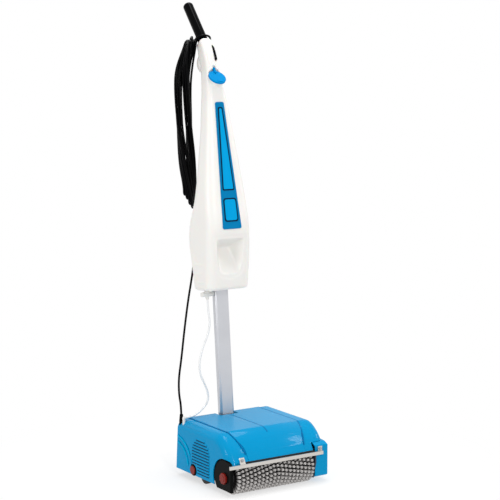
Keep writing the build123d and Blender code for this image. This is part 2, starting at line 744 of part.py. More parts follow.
# Handle column: a flat oval tube on a solid foot.
plug_end_s = 30.0
plug_gap = 0.1
with BuildPart() as column_foot:
    with BuildSketch(tilted(0, pivot_s, 0)):
        RectangleRounded(column_wide, column_deep, 6)
    extrude(amount=column_start_s - pivot_s)
    with BuildSketch(tilted(0, column_start_s, 0)):
        RectangleRounded(column_wide - 2 * (column_wall + plug_gap), column_deep - 2 * (column_wall + plug_gap), 4)
    extrude(amount=plug_end_s - column_start_s)
    rod(column_deep / 2, brush_x - column_wide / 2, brush_x + column_wide / 2, pivot_y, pivot_z)
    rod(pivot_radius + running, brush_x - column_wide, brush_x + column_wide, pivot_y, pivot_z, Mode.SUBTRACT)
pieces["column_foot"] = column_foot

with BuildPart() as handle_column:
    with BuildSketch(tilted(0, column_start_s, 0)):
        RectangleRounded(column_wide, column_deep, 6)
        RectangleRounded(column_wide - 2 * column_wall, column_deep - 2 * column_wall, 4, mode=Mode.SUBTRACT)
    extrude(amount=column_end_s - column_start_s)
pieces["handle_column"] = handle_column

# Solution tank: stations along the handle, (s, front, rear, half width, corner radius), then the neck,
# whose sections tilt rearward: (s, middle, half depth, half width, corner radius, tilt).
tank_stations = [
    (362, -58, 43, 70, 26), (442, -70.5, 51.5, 73.5, 30), (505, -79, 61, 73.5, 32), (545, -82, 57, 72.5, 32),
    (621, -74.5, 27, 68.5, 29), (694, -67, 15, 61, 26), (766, -59.5, 9, 52, 22), (824, -53.5, 6, 44, 18),
    (882, -47, 8, 36.5, 15), (920, -43, 10, 31, 14),
]
neck_stations = [
    (970, -8, 25, 24, 13, 6), (1012, -1, 25, 20, 14, 12), (1046, 9, 25, 20.5, 14, 22),
    (1072, 19, 22, 19.5, 14, 30), (1082, 25, 20, 18.5, 13.5, 34.2),
]
sections = [((front + rear) / 2, s, 0, half, (rear - front) / 2, r) for s, front, rear, half, r in tank_stations]
sections += [(middle, s, tilt, half, depth, r) for s, middle, depth, half, r, tilt in neck_stations]


def tank_solid(chosen, inset):
    """A loft through sections of the tank, each drawn in by the inset."""
    with BuildPart() as solid:
        for n, s, tilt, half, depth, r in chosen:
            with BuildSketch(tilted(n, s, tilt)):
                RectangleRounded(2 * (half - inset), 2 * (depth - inset), r - inset)
        loft()
    return solid.part


cap_knuckle_radius = 3.4
cap_knuckle_width = 8.0
cap_strap_width = 5.0
cap_hinge_out = 5.0
cap_hinge_up = 9.0
cap_slot_gap = 0.8
cap_pin_radius = 1.2
label_gap = 0.3
valve_x = -45.0
valve_neck_radius = 8.0
tank_skin = tank_solid(sections, 0)
hollow_foot = (sections[0][0], sections[0][1] + tank_wall, *sections[0][2:])
tank_hollow = tank_solid([hollow_foot, *sections[1:11]], tank_wall)
socket_wide = column_wide + 0.4
socket_deep = column_deep + 0.4
socket_wall = 3.5
recess_middle_s = 452.0
recess_out = 92.0
recess_depth = 38.0
recess_taper = 26.0
recess_floor_radius = 9.0
recess_slant = radians(14.0)
recess_plane = Plane(origin=at(0, -recess_out, recess_middle_s), x_dir=(1, 0, 0),
                     z_dir=cos(recess_slant) * handle.y_dir - sin(recess_slant) * handle.z_dir)
recess_outline = [(-50, -54), (50, -54), (44, 4), (26, 52), (-26, 52), (-44, 4)]
cap_plane = tilted(cap_n, cap_s, -cap_tilt)
cap_hinge_place = cap_plane.from_local_coords(Vector(0, cap_radius + cap_hinge_out, cap_hinge_up))
trigger_place = at(trigger_x, trigger_n, trigger_s)
valve_plane = Plane(origin=at(valve_x, 0, tank_stations[0][0]), x_dir=(1, 0, 0), z_dir=handle.z_dir)
side_view = Plane(origin=at(0, 0, 0), x_dir=handle.y_dir, z_dir=(1, 0, 0))
label_foot = (-82.5, 538.0)
label_head = (-45.3, 903.0)
label_length = dist(label_foot, label_head)
label_up = ((label_head[0] - label_foot[0]) / label_length, (label_head[1] - label_foot[1]) / label_length)
label_plane = Plane(origin=at(0, *label_foot), x_dir=(1, 0, 0),
                    z_dir=label_up[0] * handle.z_dir - label_up[1] * handle.y_dir)
label_outline = [(-32, 0), (32, 0), (14.4, label_length), (-14.4, label_length)]
label_recess = 1.0
label_thickness = 2.0
grip_plane = tilted(grip_n, grip_s, grip_tilt)
tube_depth = 26.0
trigger_slot_half = trigger_width / 2 + 0.7
trigger_pin_radius = 2.0

with BuildPart() as recess_cut:
    with BuildSketch(recess_plane) as recess_face:
        with BuildLine():
            Polyline(*recess_outline, close=True)
        make_face()
        fillet(recess_face.vertices(), 11)
    extrude(amount=recess_depth, taper=recess_taper)
    fillet(recess_cut.faces().sort_by(Axis.Y)[-1].edges(), recess_floor_radius)

with BuildPart() as hollow:
    add(tank_hollow)
    with BuildSketch(recess_plane):
        add(recess_face.sketch_local)
        offset(amount=tank_wall + 1, mode=Mode.REPLACE)
    extrude(amount=recess_depth + tank_wall, taper=recess_taper, mode=Mode.SUBTRACT)
    with BuildSketch(tilted(0, column_end_s + socket_wall, 0)):
        RectangleRounded(socket_wide + 2 * socket_wall, socket_deep + 2 * socket_wall, 8)
    extrude(amount=-200, mode=Mode.SUBTRACT)

with BuildPart() as solution_tank:
    add(tank_skin)
    fillet(solution_tank.faces().sort_by(Axis.Z)[0].edges(), tank_bottom_radius)
    fillet(solution_tank.faces().sort_by(Axis.Z)[-1].edges(), neck_end_radius)
    with BuildSketch(label_plane.offset(-label_recess)) as label_seat:
        with BuildLine():
            Polyline(*label_outline, close=True)
        make_face()
        fillet(label_seat.vertices(), 6)
        offset(amount=label_gap, mode=Mode.REPLACE)
    extrude(amount=20, mode=Mode.SUBTRACT)
    add(recess_cut.part, mode=Mode.SUBTRACT)
    add(hollow.part, mode=Mode.SUBTRACT)
    with Locations(cap_plane):
        Cylinder(cap_radius + 2, 40, align=(Align.CENTER, Align.CENTER, Align.MIN), mode=Mode.SUBTRACT)
        Cylinder(spout_radius, mouth_depth, align=(Align.CENTER, Align.CENTER, Align.MAX))
        Cylinder(mouth_radius, 2 * mouth_depth, mode=Mode.SUBTRACT)
        with Locations((0, cap_radius + cap_hinge_out, cap_thickness - 1 - cap_slot_gap)):
            Box(cap_knuckle_width + 2 * cap_slot_gap, 2 * (cap_knuckle_radius + cap_slot_gap), 40,
                align=(Align.CENTER, Align.CENTER, Align.MIN), mode=Mode.SUBTRACT)
    with Locations(cap_hinge_place):
        Cylinder(cap_knuckle_radius + cap_slot_gap, cap_knuckle_width + 2 * cap_slot_gap, rotation=(0, 90, 0),
                 mode=Mode.SUBTRACT)
        Cylinder(cap_pin_radius, 22, rotation=(0, 90, 0), mode=Mode.SUBTRACT)
    with BuildSketch(tilted(0, column_end_s + 0.5, 0)):
        RectangleRounded(socket_wide, socket_deep, 6.2)
    extrude(amount=-200, mode=Mode.SUBTRACT)
    with BuildSketch(side_view.offset(trigger_x - trigger_slot_half)):
        with BuildLine():
            Polyline((-60, 1018), (-12, 1018), (4, 1050), (4, 1070), (-60, 1070), close=True)
        make_face()
    extrude(amount=2 * trigger_slot_half, mode=Mode.SUBTRACT)
    with Locations(trigger_place):
        Cylinder(trigger_pin_radius, trigger_pin_length, rotation=(0, 90, 0), mode=Mode.SUBTRACT)
    with Locations(grip_plane):
        Cylinder(grip_tube_radius, 2 * tube_depth, mode=Mode.SUBTRACT)
    with Locations(valve_plane):
        Cylinder(valve_neck_radius, 30, mode=Mode.SUBTRACT)
pieces["solution_tank"] = solution_tank

# Label panel and its two plain windows.
with BuildPart() as label_panel:
    with BuildSketch(label_plane.offset(-label_recess)) as label_face:
        with BuildLine():
            Polyline(*label_outline, close=True)
        make_face()
        fillet(label_face.vertices(), 6)
    extrude(amount=label_thickness)
pieces["label_panel"] = label_panel

window_thickness = 0.8
for window_name, corners, radius in (
    ("label_window_upper", [(-20, 112), (20, 112), (4.5, 352), (-4.5, 352)], 4),
    ("label_window_lower", [(-22.5, 22), (22.5, 22), (21, 88), (-21, 88)], 8),
):
    with BuildPart() as label_window:
        with BuildSketch(label_plane.offset(label_thickness - label_recess)) as window_face:
            with BuildLine():
                Polyline(*corners, close=True)
            make_face()
            fillet(window_face.vertices(), radius)
        extrude(amount=window_thickness)
    pieces[window_name] = label_window

# Filler cap on its spout, hinged at the upper edge.
cap_gap = 0.1
with BuildPart() as filler_cap:
    with Locations(cap_plane.offset(cap_gap)):
        Cylinder(cap_radius, cap_thickness, align=(Align.CENTER, Align.CENTER, Align.MIN))
    fillet(filler_cap.edges().filter_by(GeomType.CIRCLE).sort_by(Axis.Z)[-1], 2)
    with Locations(cap_plane.offset(cap_gap)):
        with Locations((0, cap_radius + cap_hinge_out, cap_thickness - 1)):
            Box(cap_strap_width, 18, cap_hinge_up - cap_thickness + 2.5,
                align=(Align.CENTER, Align.MAX, Align.MIN))
        with Locations((0, 8 - cap_radius, cap_thickness)):
            Box(16, 6, 3)
        Cone(mouth_radius - 3.5, mouth_radius - 0.6, 6, align=(Align.CENTER, Align.CENTER, Align.MAX))
    with Locations(cap_hinge_place):
        Cylinder(cap_knuckle_radius, cap_knuckle_width, rotation=(0, 90, 0))
        Cylinder(cap_pin_radius + running, 22, rotation=(0, 90, 0), mode=Mode.SUBTRACT)
pieces["filler_cap"] = filler_cap

with BuildPart() as cap_pin:
    with Locations(cap_hinge_place):
        Cylinder(cap_pin_radius, 22, rotation=(0, 90, 0))
pieces["cap_pin"] = cap_pin

# Trigger under the grip, its pin, the grip and the tube that holds it.
with BuildPart() as trigger:
    with BuildSketch(side_view.offset(trigger_x - trigger_width / 2)) as trigger_face:
        with BuildLine():
            Polyline((0, 1060), (-3, 1065), (-9.5, 1066), (-17.5, 1052), (-25.5, 1030), (-26, 1026), (-22.5, 1024.5),
                     (-19.5, 1028), (-12, 1049), (-4, 1055), close=True)
        make_face()
        fillet(trigger_face.vertices(), 1.5)
    extrude(amount=trigger_width)
    with Locations(trigger_place):
        Cylinder(trigger_pin_radius + running, 26, rotation=(0, 90, 0), mode=Mode.SUBTRACT)
pieces["trigger"] = trigger

with BuildPart() as trigger_pin:
    with Locations(trigger_place):
        Cylinder(trigger_pin_radius, trigger_pin_length, rotation=(0, 90, 0))
pieces["trigger_pin"] = trigger_pin

with BuildPart() as grip_tube:
    with Locations(grip_plane):
        Cylinder(grip_tube_radius, tube_depth, align=(Align.CENTER, Align.CENTER, Align.MAX))
        Cylinder(grip_tube_radius, grip_length - 20, align=(Align.CENTER, Align.CENTER, Align.MIN))
pieces["grip_tube"] = grip_tube

with BuildPart() as grip:
    with Locations(grip_plane):
        Cylinder(grip_radius, grip_length, align=(Align.CENTER, Align.CENTER, Align.MIN))
    fillet(grip.edges().filter_by(GeomType.CIRCLE).sort_by(Axis.Z)[-1], 10)
    fillet(grip.edges().filter_by(GeomType.CIRCLE).sort_by(Axis.Z)[0], 2)
    with Locations(grip_plane):
        Cylinder(grip_tube_radius, grip_length - 20, align=(Align.CENTER, Align.CENTER, Align.MIN),
                 mode=Mode.SUBTRACT)
pieces["grip"] = grip

# Valve under the tank, and the two fittings in the left cover that take the hose and the cable.
with BuildPart() as tank_valve:
    with Locations(valve_plane):
        Cylinder(valve_neck_radius, tank_wall, align=(Align.CENTER, Align.CENTER, Align.MIN))
        Cylinder(valve_neck_radius, 12, align=(Align.CENTER, Align.CENTER, Align.MAX))
    with Locations(valve_plane.offset(-12)):
        Cylinder(7, 38, rotation=(0, 90, 0))
        Cylinder(5.2, 14, align=(Align.CENTER, Align.CENTER, Align.MAX))
pieces["tank_valve"] = tank_valve

gland_low_z = 148.0
gland_cone_z = 163.0
gland_top_z = 181.0
with BuildPart() as cable_gland:
    with Locations((*gland_place, gland_low_z)):
        Cylinder(gland_radius, gland_cone_z - gland_low_z, align=(Align.CENTER, Align.CENTER, Align.MIN))
    with Locations((*gland_place, gland_cone_z)):
        Cone(gland_radius, cord_radius + 1.6, gland_top_z - gland_cone_z,
             align=(Align.CENTER, Align.CENTER, Align.MIN))
    with Locations((*gland_place, gland_low_z)):
        Cylinder(cord_radius, 80, mode=Mode.SUBTRACT)
pieces["cable_gland"] = cable_gland

elbow_z = 173.0
elbow_reach = 8.0
with BuildPart() as hose_elbow:
    with Locations((*elbow_place, gland_low_z)):
        Cylinder(elbow_radius, elbow_z - gland_low_z, align=(Align.CENTER, Align.CENTER, Align.MIN))
    with Locations((*elbow_place, elbow_z)):
        Sphere(elbow_radius)
    rod(elbow_radius, elbow_place[0], elbow_place[0] + elbow_reach, elbow_place[1], elbow_z)
pieces["hose_elbow"] = hose_elbow

# Cables and hose. Each run is a list of points, rounded at every point but the ends.


def from_axis(points):
    """Points given from the middle of the machine, from the brush axis backwards, and from the floor."""
    return [Vector(brush_x + x, brush_y + y, z) for x, y, z in points]


valve_outlet = valve_plane.offset(-26).origin
hose_points = [valve_outlet, valve_outlet - handle.z_dir * 26] + from_axis([
    (-38, 258, 434), (-45, 258, 402), (-63, 258, 366), (-76, 257, 326), (-76, 256, 290), (-61, 255, 258),
    (-48, 254, 228), (-51, 251, 203), (-76, 242, 185), (-105, 229, 176.5), (-124, 224, elbow_z),
]) + [(elbow_place[0] + elbow_reach, elbow_place[1], elbow_z)]
run_points = [(*gland_place, gland_low_z + 2), (*gland_place, 202)] + from_axis([
    (-155, 258, 236), (-145, 276, 280), (-129, 284.5, 330), (-104, 299, 413), (-79, 313.5, 497), (-61, 324, 553),
    (-49, 330, 600), (-40, 342, 655), (-28, 356, 705),
])

# The hank hangs from the grip, given half a twist. It lies in a frame of its own: across, layer and height.
# Its levels are (height, sideways shift, turn). Each layer ends a little above the one in front of it.
hank_middle = (brush_x - 50, brush_y + 385)
hank_across = (0.8346, -0.5508)
hank_layers = (-12.0, -4.0, 4.0, 12.0)
hank_lifts = (0.0, 10.0, 20.0, 30.0)
hank_levels = ((785, 14, 42), (894, 11, 21), (1004, 4.6, 0), (1113, 0.5, -21), (1222, 12, -42))
hank_dip = 7.0
up = Vector(0, 0, 1)


def hank_point(column, layer, level, lift):
    """Where a run of the hank crosses one of its levels."""
    z, shift, turn = hank_levels[level]
    side, depth = column, hank_layers[layer]
    u = shift + side * cos(radians(turn)) - depth * sin(radians(turn))
    v = side * sin(radians(turn)) + depth * cos(radians(turn))
    return Vector(hank_middle[0] + u * hank_across[0] - v * hank_across[1],
                  hank_middle[1] + u * hank_across[1] + v * hank_across[0], z + (lift if level == 0 else 0))


# Each run is (column, layer, layer whose lift it takes, straight below, straight above). Runs go up on the right
# and down on the left. Where the cable climbs to the next layer its fold is kept clear of the folds beside it.
inside = hank_inside
between = hank_inside + hank_pitch
outer = hank_inside + 2 * hank_pitch
dip = hank_dip
hank_runs = [
    (outer, 0, 0, dip, 0), (-outer, 0, 0, dip, 0), (between, 0, 0, dip, 0), (-between, 0, 0, dip, 0),
    (inside, 0, 0, dip, 0), (-inside, 0, 1, 0, 0), (inside, 1, 1, 0, 0), (-between, 1, 1, dip, 0),
    (between, 1, 1, dip, 0), (-outer, 1, 1, dip, 0), (outer, 1, 1, dip, dip), (-outer, 2, 2, dip, dip),
    (between, 2, 2, dip, 0), (-between, 2, 2, dip, 0), (inside, 2, 2, dip, 0), (-inside, 2, 3, 0, 0),
    (inside, 3, 3, 0, 0), (-between, 3, 3, dip, 0), (between, 3, 3, dip, 0), (-outer, 3, 3, dip, 0),
    (outer, 3, 3, dip, dip),
]
hank_arcs = []
with BuildLine() as hank_line:
    for step, (column, layer, lifted, below, above) in enumerate(hank_runs):
        points = [hank_point(column, layer, level, hank_lifts[lifted]) for level in range(len(hank_levels))]
        ends = [points[0] - up * below, points[-1] + up * above]
        heading = up
        if step % 2:
            heading = -up
            points.reverse()
            ends.reverse()
        if step:
            hank_arcs.append(TangentArc(hank_arcs[-1] @ 1, ends[0], tangent=-heading))
        if (points[0] - ends[0]).length > 0:
            hank_arcs.append(Line(ends[0], points[0]))
        for start, end in zip(points, points[1:]):
            middle = (start + end) * 0.5
            hank_arcs.append(TangentArc(start, middle, tangent=heading))
            hank_arcs.append(TangentArc(middle, end, tangent=hank_arcs[-1] % 1))
        if (ends[1] - points[-1]).length > 0:
            hank_arcs.append(Line(points[-1], ends[1]))

with BuildPart() as mains_cord_hank:
    with BuildSketch(Plane(origin=hank_line.line @ 0, z_dir=up)):
        Circle(cord_radius)
    sweep(path=hank_line.line)
pieces["mains_cord_hank"] = mains_cord_hank

# The nearest that two runs of the hank come, measured on points along its line.
walk = []
walked = 0.0
for arc in hank_arcs:
    count = ceil(arc.length / 4)
    walk += [(walked + arc.length * k / count, *(arc @ (k / count))) for k in range(count)]
    walked += arc.length
nearest = min(dist(a[1:], b[1:]) for i, a in enumerate(walk) for b in walk[i + 1:] if b[0] - a[0] > 30)
print("hank length", round(walked, 1), "least gap", round(nearest - 2 * cord_radius, 2))

hank_start = hank_arcs[0] @ 0
hank_end = hank_arcs[-1] @ 1
wrap = grip_radius + cord_radius + wrap_gap
plug_top = from_axis([(40, 382, 1130)])[0]
run_points += [hank_start - up * 25, hank_start]
tail_points = [hank_end, hank_end + up * 14] + [
    grip_plane.from_local_coords(Vector(*place)) for place in (
        (-wrap, -6, 8), (-0.6 * wrap, -0.9 * wrap, 9), (0.5 * wrap, -0.95 * wrap, 9), (wrap, -7, 9), (wrap + 2, 9, 7),
    )
] + from_axis([(28, 374, 1228), (33, 381, 1203)]) + [plug_top + up * 45, plug_top]


def corner_radii(points):
    """The bend at every inner point: as wide as the shorter run beside it allows."""
    points = [Vector(*point) for point in points]
    radii = []
    for before, here, after in zip(points, points[1:], points[2:]):
        turn = radians((here - before).get_angle(after - here))
        radii.append(0.45 * min((here - before).length, (after - here).length) / tan(turn / 2))
    return radii


for cord_name, points, radius in (
    ("mains_cord_run", run_points, cord_radius),
    ("mains_cord_tail", tail_points, cord_radius),
    ("solution_hose", hose_points, hose_radius),
):
    radii = corner_radii(points)
    with BuildPart() as cord:
        with BuildLine() as cord_line:
            FilletPolyline(*points, radius=radii)
        with BuildSketch(Plane(origin=cord_line.line @ 0, z_dir=cord_line.line % 0)):
            Circle(radius)
        sweep()
    pieces[cord_name] = cord
    print(cord_name, "length", round(cord_line.wire().length, 1), "least bend", round(min(radii), 1))

# Plug: a moulded body with two round pins.
plug_length = 46.0
with BuildPart() as mains_plug:
    with BuildSketch(Plane(origin=plug_top, z_dir=-up)):
        Circle(6)
    with BuildSketch(Plane(origin=plug_top - up * 20, z_dir=-up)):
        Circle(15)
    loft()
    with BuildSketch(Plane(origin=plug_top - up * 20, z_dir=-up)):
        Circle(18)
    extrude(amount=plug_length - 20)
    with BuildSketch(Plane(origin=plug_top - up * plug_length, z_dir=-up)):
        with Locations((-9.5, 0), (9.5, 0)):
            Circle(2.4)
    extrude(amount=19)
pieces["mains_plug"] = mains_plug

for name, piece in pieces.items():
    piece.part.label = name
    export_step(piece.part, f"parts/{name}.step")
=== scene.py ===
from math import cos, pi, radians, sin, tan

import bmesh
import bpy
import numpy as np
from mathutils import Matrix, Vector


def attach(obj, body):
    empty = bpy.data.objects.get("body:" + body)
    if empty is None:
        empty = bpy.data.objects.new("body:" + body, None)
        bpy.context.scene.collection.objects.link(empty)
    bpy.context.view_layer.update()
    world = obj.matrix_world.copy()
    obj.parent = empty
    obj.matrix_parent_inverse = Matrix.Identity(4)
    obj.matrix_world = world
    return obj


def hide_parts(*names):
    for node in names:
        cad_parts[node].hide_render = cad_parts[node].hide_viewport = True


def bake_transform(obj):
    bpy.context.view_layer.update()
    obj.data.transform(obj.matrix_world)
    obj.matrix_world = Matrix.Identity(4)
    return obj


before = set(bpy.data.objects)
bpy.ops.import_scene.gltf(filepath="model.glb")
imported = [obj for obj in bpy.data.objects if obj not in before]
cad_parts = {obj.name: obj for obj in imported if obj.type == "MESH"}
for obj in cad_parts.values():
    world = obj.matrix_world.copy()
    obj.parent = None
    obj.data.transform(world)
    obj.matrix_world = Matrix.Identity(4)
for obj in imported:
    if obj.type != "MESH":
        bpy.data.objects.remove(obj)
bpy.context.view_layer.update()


# Chassis: two steel side plates, a belly plate and the bracket that carries the handle.
# They are cut and bent from sheet, welded together, and sprayed a dark blue-black.
def colour(red, green, blue):
    """A colour as a paint chart gives it, 0 to 255, in the shader's linear values."""
    parts = [c / 255 for c in (red, green, blue)]
    return (*[c / 12.92 if c < 0.04 else ((c + 0.055) / 1.055) ** 2.4 for c in parts], 1.0)


def surface(name, base, drift, gloss, grain, depth, stretch=(1, 1, 1), patch=0.07, **fixed):
    """A finish: base colour drifting to another in patches, roughness between two values, fine grain in mm."""
    made = bpy.data.materials.new(name)
    made.use_nodes = True
    nodes, link = made.node_tree.nodes, made.node_tree.links.new
    shader = nodes["Principled BSDF"]
    place = nodes.new("ShaderNodeTexCoord")
    scale = nodes.new("ShaderNodeMapping")
    scale.inputs["Scale"].default_value = stretch
    link(place.outputs["Object"], scale.inputs["Vector"])
    cloud = nodes.new("ShaderNodeTexNoise")
    cloud.inputs["Scale"].default_value = 1 / patch
    cloud.inputs["Detail"].default_value = 4
    link(place.outputs["Object"], cloud.inputs["Vector"])
    tint = nodes.new("ShaderNodeMix")
    tint.data_type = "RGBA"
    tint.inputs["A"].default_value = base
    tint.inputs["B"].default_value = drift
    link(cloud.outputs["Fac"], tint.inputs["Factor"])
    link(tint.outputs["Result"], shader.inputs["Base Color"])
    fine = nodes.new("ShaderNodeTexNoise")
    fine.inputs["Scale"].default_value = 1000 / grain
    fine.inputs["Detail"].default_value = 3
    link(scale.outputs["Vector"], fine.inputs["Vector"])
    sheen = nodes.new("ShaderNodeMapRange")
    sheen.inputs["From Min"].default_value = 0.3
    sheen.inputs["From Max"].default_value = 0.7
    sheen.inputs["To Min"].default_value = gloss[0]
    sheen.inputs["To Max"].default_value = gloss[1]
    link(fine.outputs["Fac"], sheen.inputs["Value"])
    link(sheen.outputs["Result"], shader.inputs["Roughness"])
    relief = nodes.new("ShaderNodeBump")
    relief.inputs["Strength"].default_value = 0.6
    relief.inputs["Distance"].default_value = depth / 1000
    link(fine.outputs["Fac"], relief.inputs["Height"])
    link(relief.outputs["Normal"], shader.inputs["Normal"])
    for socket, value in fixed.items():
        shader.inputs[socket.replace("_", " ")].default_value = value
    return made


def dress(finish, *names, edge=0.0, lap=0.0):
    """Gives solids of the frame their finish, lifts their skin and rounds their sharp edges by so many mm."""
    for name in names:
        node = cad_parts[name]
        node.data.materials.clear()
        node.data.materials.append(finish)
        if edge:
            weld = node.modifiers.new("joined", "WELD")
            weld.merge_threshold = 0.00002
        if lap:
            lifted = node.modifiers.new("lap", "DISPLACE")
            lifted.mid_level = 0.0
            lifted.strength = lap / 1000
        if edge:
            soft = node.modifiers.new("edge", "BEVEL")
            soft.width = edge / 1000
            soft.segments = 2
            soft.limit_method = "ANGLE"
            soft.angle_limit = radians(40)
            soft.harden_normals = True


sprayed_dark = surface("sprayed_dark", colour(30, 36, 52), colour(40, 46, 62), (0.38, 0.5), 1.6, 0.03)
dress(sprayed_dark, "chassis", "pivot_bracket")


# Motor and drive, inside the covers: a ribbed cast motor across the machine and a short flat belt.
# Castings are rough and grey, shafts and screws are turned steel, pulleys are moulded.
cast_grey = surface("cast_grey", colour(96, 97, 100), colour(80, 81, 84), (0.55, 0.75), 1.2, 0.12, Metallic=0.6)
turned_steel = surface("turned_steel", colour(172, 172, 175), colour(150, 150, 154), (0.22, 0.36), 0.5, 0.01,
                       (30, 1, 1), Metallic=1.0)
moulded_dark = surface("moulded_dark", colour(38, 38, 41), colour(46, 46, 48), (0.45, 0.6), 0.7, 0.03)
belt_rubber = surface("belt_rubber", colour(24, 24, 25), colour(32, 32, 33), (0.6, 0.8), 0.6, 0.05)
bronze = surface("bronze", colour(186, 150, 96), colour(168, 132, 82), (0.3, 0.45), 0.5, 0.01, Metallic=1.0)
dress(cast_grey, "motor_body", "motor_flange")
dress(turned_steel, "motor_shaft", "motor_screws", "brush_drive_shaft", "brush_stub", "brush_bearing", "rear_axle",
      "axle_clips", "wheel_pins", "pivot_pin", "cap_pin", "trigger_pin", "grip_tube")
dress(moulded_dark, "brush_pulley", "motor_pulley", "brush_core", "brush_tunnel")
dress(belt_rubber, "drive_belt")
dress(bronze, "brush_bush")


# Wheels: two rear wheels with rubber tyres on moulded hubs, and two small wheels in bent steel forks.
# They turn on plain pins and an axle, sit under the covers and hardly show.
hub_grey = surface("hub_grey", colour(98, 98, 100), colour(112, 112, 113), (0.45, 0.6), 0.8, 0.04)
tyre_rubber = surface("tyre_rubber", colour(34, 33, 33), colour(46, 45, 44), (0.65, 0.85), 0.9, 0.08)
zinc_plate = surface("zinc_plate", colour(168, 168, 166), colour(150, 151, 152), (0.32, 0.46), 1.5, 0.02, Metallic=1.0)
dress(hub_grey, "rear_hub_left", "rear_hub_right", edge=0.8)
dress(tyre_rubber, "rear_tyre_left", "rear_tyre_right", "small_wheel_left", "small_wheel_right")
dress(zinc_plate, "small_fork_left", "small_fork_right", edge=0.3)


# Brush: nylon tufts set in drilled rows round a dark core, turning in a chevron from the middle.
# Each tuft is a pinched bundle of filaments that spreads towards its tips.
brush_middle = Vector((-0.014, -0.2005, 0.048))
brush_length = 0.260
tufts_along, tufts_around = 20, 25
chevron_turn = radians(36)
core_radius, bend_radius, tip_radius = 0.020, 0.036, 0.0477
bend_share = 0.55
root_spread, tip_spread = 0.0019, 0.0031
filament_radius, filament_sides = 0.0009, 3
lean_wander, length_wander = 0.0002, 0.0004
filaments = [(0, 0)] + [(0.5 * cos(k * pi / 3), 0.5 * sin(k * pi / 3)) for k in range(6)]
filaments += [(cos(k * pi / 6), sin(k * pi / 6)) for k in range(12)]


def tuft_mesh(name):
    """Every filament of the brush as a three-sided strand in two lengths."""
    chance = np.random.default_rng(7)
    points, faces = [], []
    along_brush = np.array((1.0, 0.0, 0.0))
    for row in range(tufts_along):
        along = (row + 0.5) * brush_length / tufts_along - brush_length / 2
        turn = chevron_turn * abs(along) / (brush_length / 2)
        for step in range(tufts_around):
            angle = turn + step * 2 * pi / tufts_around
            out = np.array((0.0, -sin(angle), cos(angle)))
            side = np.array((0.0, cos(angle), sin(angle)))
            for across, aside in filaments:
                lean = chance.normal(0, lean_wander, 2)
                end = tip_radius - abs(chance.normal(0, length_wander))
                first = len(points)
                for share, radius in ((0.0, core_radius), (bend_share, bend_radius), (1.0, end)):
                    wide = root_spread + (tip_spread - root_spread) * share
                    middle = along_brush * (along + across * wide + lean[0] * share) + out * radius
                    middle = middle + side * (aside * wide + lean[1] * share)
                    for k in range(filament_sides):
                        phase = 2 * pi * k / filament_sides + across
                        points.append(middle + filament_radius * (cos(phase) * along_brush + sin(phase) * side))
                for ring in (first, first + filament_sides):
                    for k in range(filament_sides):
                        here, beside = ring + k, ring + (k + 1) % filament_sides
                        faces.append((here, beside, beside + filament_sides, here + filament_sides))
                faces.append(tuple(range(len(points) - filament_sides, len(points))))
    mesh = bpy.data.meshes.new(name)
    mesh.from_pydata([Vector(p) + brush_middle for p in points], [], faces)
    mesh.update()
    return mesh


def place(name, mesh, finish, body, slot, *stands_for):
    """Puts a made piece in the scene, with its finish, on the body that carries it."""
    piece = bpy.data.objects.new(name, mesh)
    bpy.context.scene.collection.objects.link(piece)
    mesh.materials.append(finish)
    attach(piece, body)
    if stands_for:
        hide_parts(*stands_for)
    return piece


nylon = surface("nylon_filament", colour(224, 221, 219), colour(200, 197, 195), (0.4, 0.55), 0.8, 0.02, patch=0.012)
# The filaments darken towards the core. They are fully dark 32 mm off the brush's axis and have their own colour from
# 46 mm out: painted shade, where light doesn't reach between the tufts.
nodes, link = nylon.node_tree.nodes, nylon.node_tree.links.new
apart = nodes.new("ShaderNodeSeparateXYZ")
link(nodes["Texture Coordinate"].outputs["Object"], apart.inputs[0])
from_axis = nodes.new("ShaderNodeCombineXYZ")
for axis, middle in (("Y", brush_middle.y), ("Z", brush_middle.z)):
    less = nodes.new("ShaderNodeMath")
    less.operation = "SUBTRACT"
    less.inputs[1].default_value = middle
    link(apart.outputs[axis], less.inputs[0])
    link(less.outputs[0], from_axis.inputs[axis])
reach = nodes.new("ShaderNodeVectorMath")
reach.operation = "LENGTH"
link(from_axis.outputs[0], reach.inputs[0])
root_shade_ramp = nodes.new("ShaderNodeMapRange")
root_shade_ramp.inputs["From Min"].default_value = 0.032
root_shade_ramp.inputs["From Max"].default_value = 0.046
link(reach.outputs["Value"], root_shade_ramp.inputs["Value"])
painted_root_shade = nodes.new("ShaderNodeMix")
painted_root_shade.data_type = "RGBA"
painted_root_shade.inputs["A"].default_value = colour(40, 38, 38)
link(root_shade_ramp.outputs["Result"], painted_root_shade.inputs["Factor"])
link(nodes["Mix"].outputs["Result"], painted_root_shade.inputs["B"])
link(painted_root_shade.outputs["Result"], nodes["Principled BSDF"].inputs["Base Color"])
place("brush_tufts", tuft_mesh("brush_tufts"), nylon, "brush", "bristle", "brush_bristles")


# Brush end plate: black moulded plate with a red knob, which lets the brush slide out to the left.
# The knob has eight finger hollows and a raised face. The axle's bush and cap are moulded alike.
black_moulded = surface("black_moulded", colour(6, 7, 7), colour(9, 10, 10), (0.4, 0.52), 0.8, 0.03,
                        Specular_IOR_Level=0.05)
red_moulded = surface("red_moulded", colour(132, 30, 20), colour(112, 24, 16), (0.24, 0.36), 1.0, 0.03,
                      Specular_IOR_Level=0.2)
dress(black_moulded, "brush_end_plate", "axle_bush", "column_foot")
dress(red_moulded, "brush_knob", "axle_cap", edge=0.5)


# Covers: hood, two side covers and the belt cover, formed from azure sheet with a polished face.
# The hood laps over the sides at curved seams and has a crease along its middle.
azure = surface("azure_gloss", colour(0, 145, 198), colour(0, 140, 192), (0.2, 0.26), 9.0, 0.003, patch=0.12,
                Specular_IOR_Level=0.03, Coat_Weight=0.1, Coat_Roughness=0.03)
dress(azure, "left_side_cover", "right_side_cover", "belt_cover", edge=0.8)
dress(azure, "hood", edge=2.0, lap=2.2)
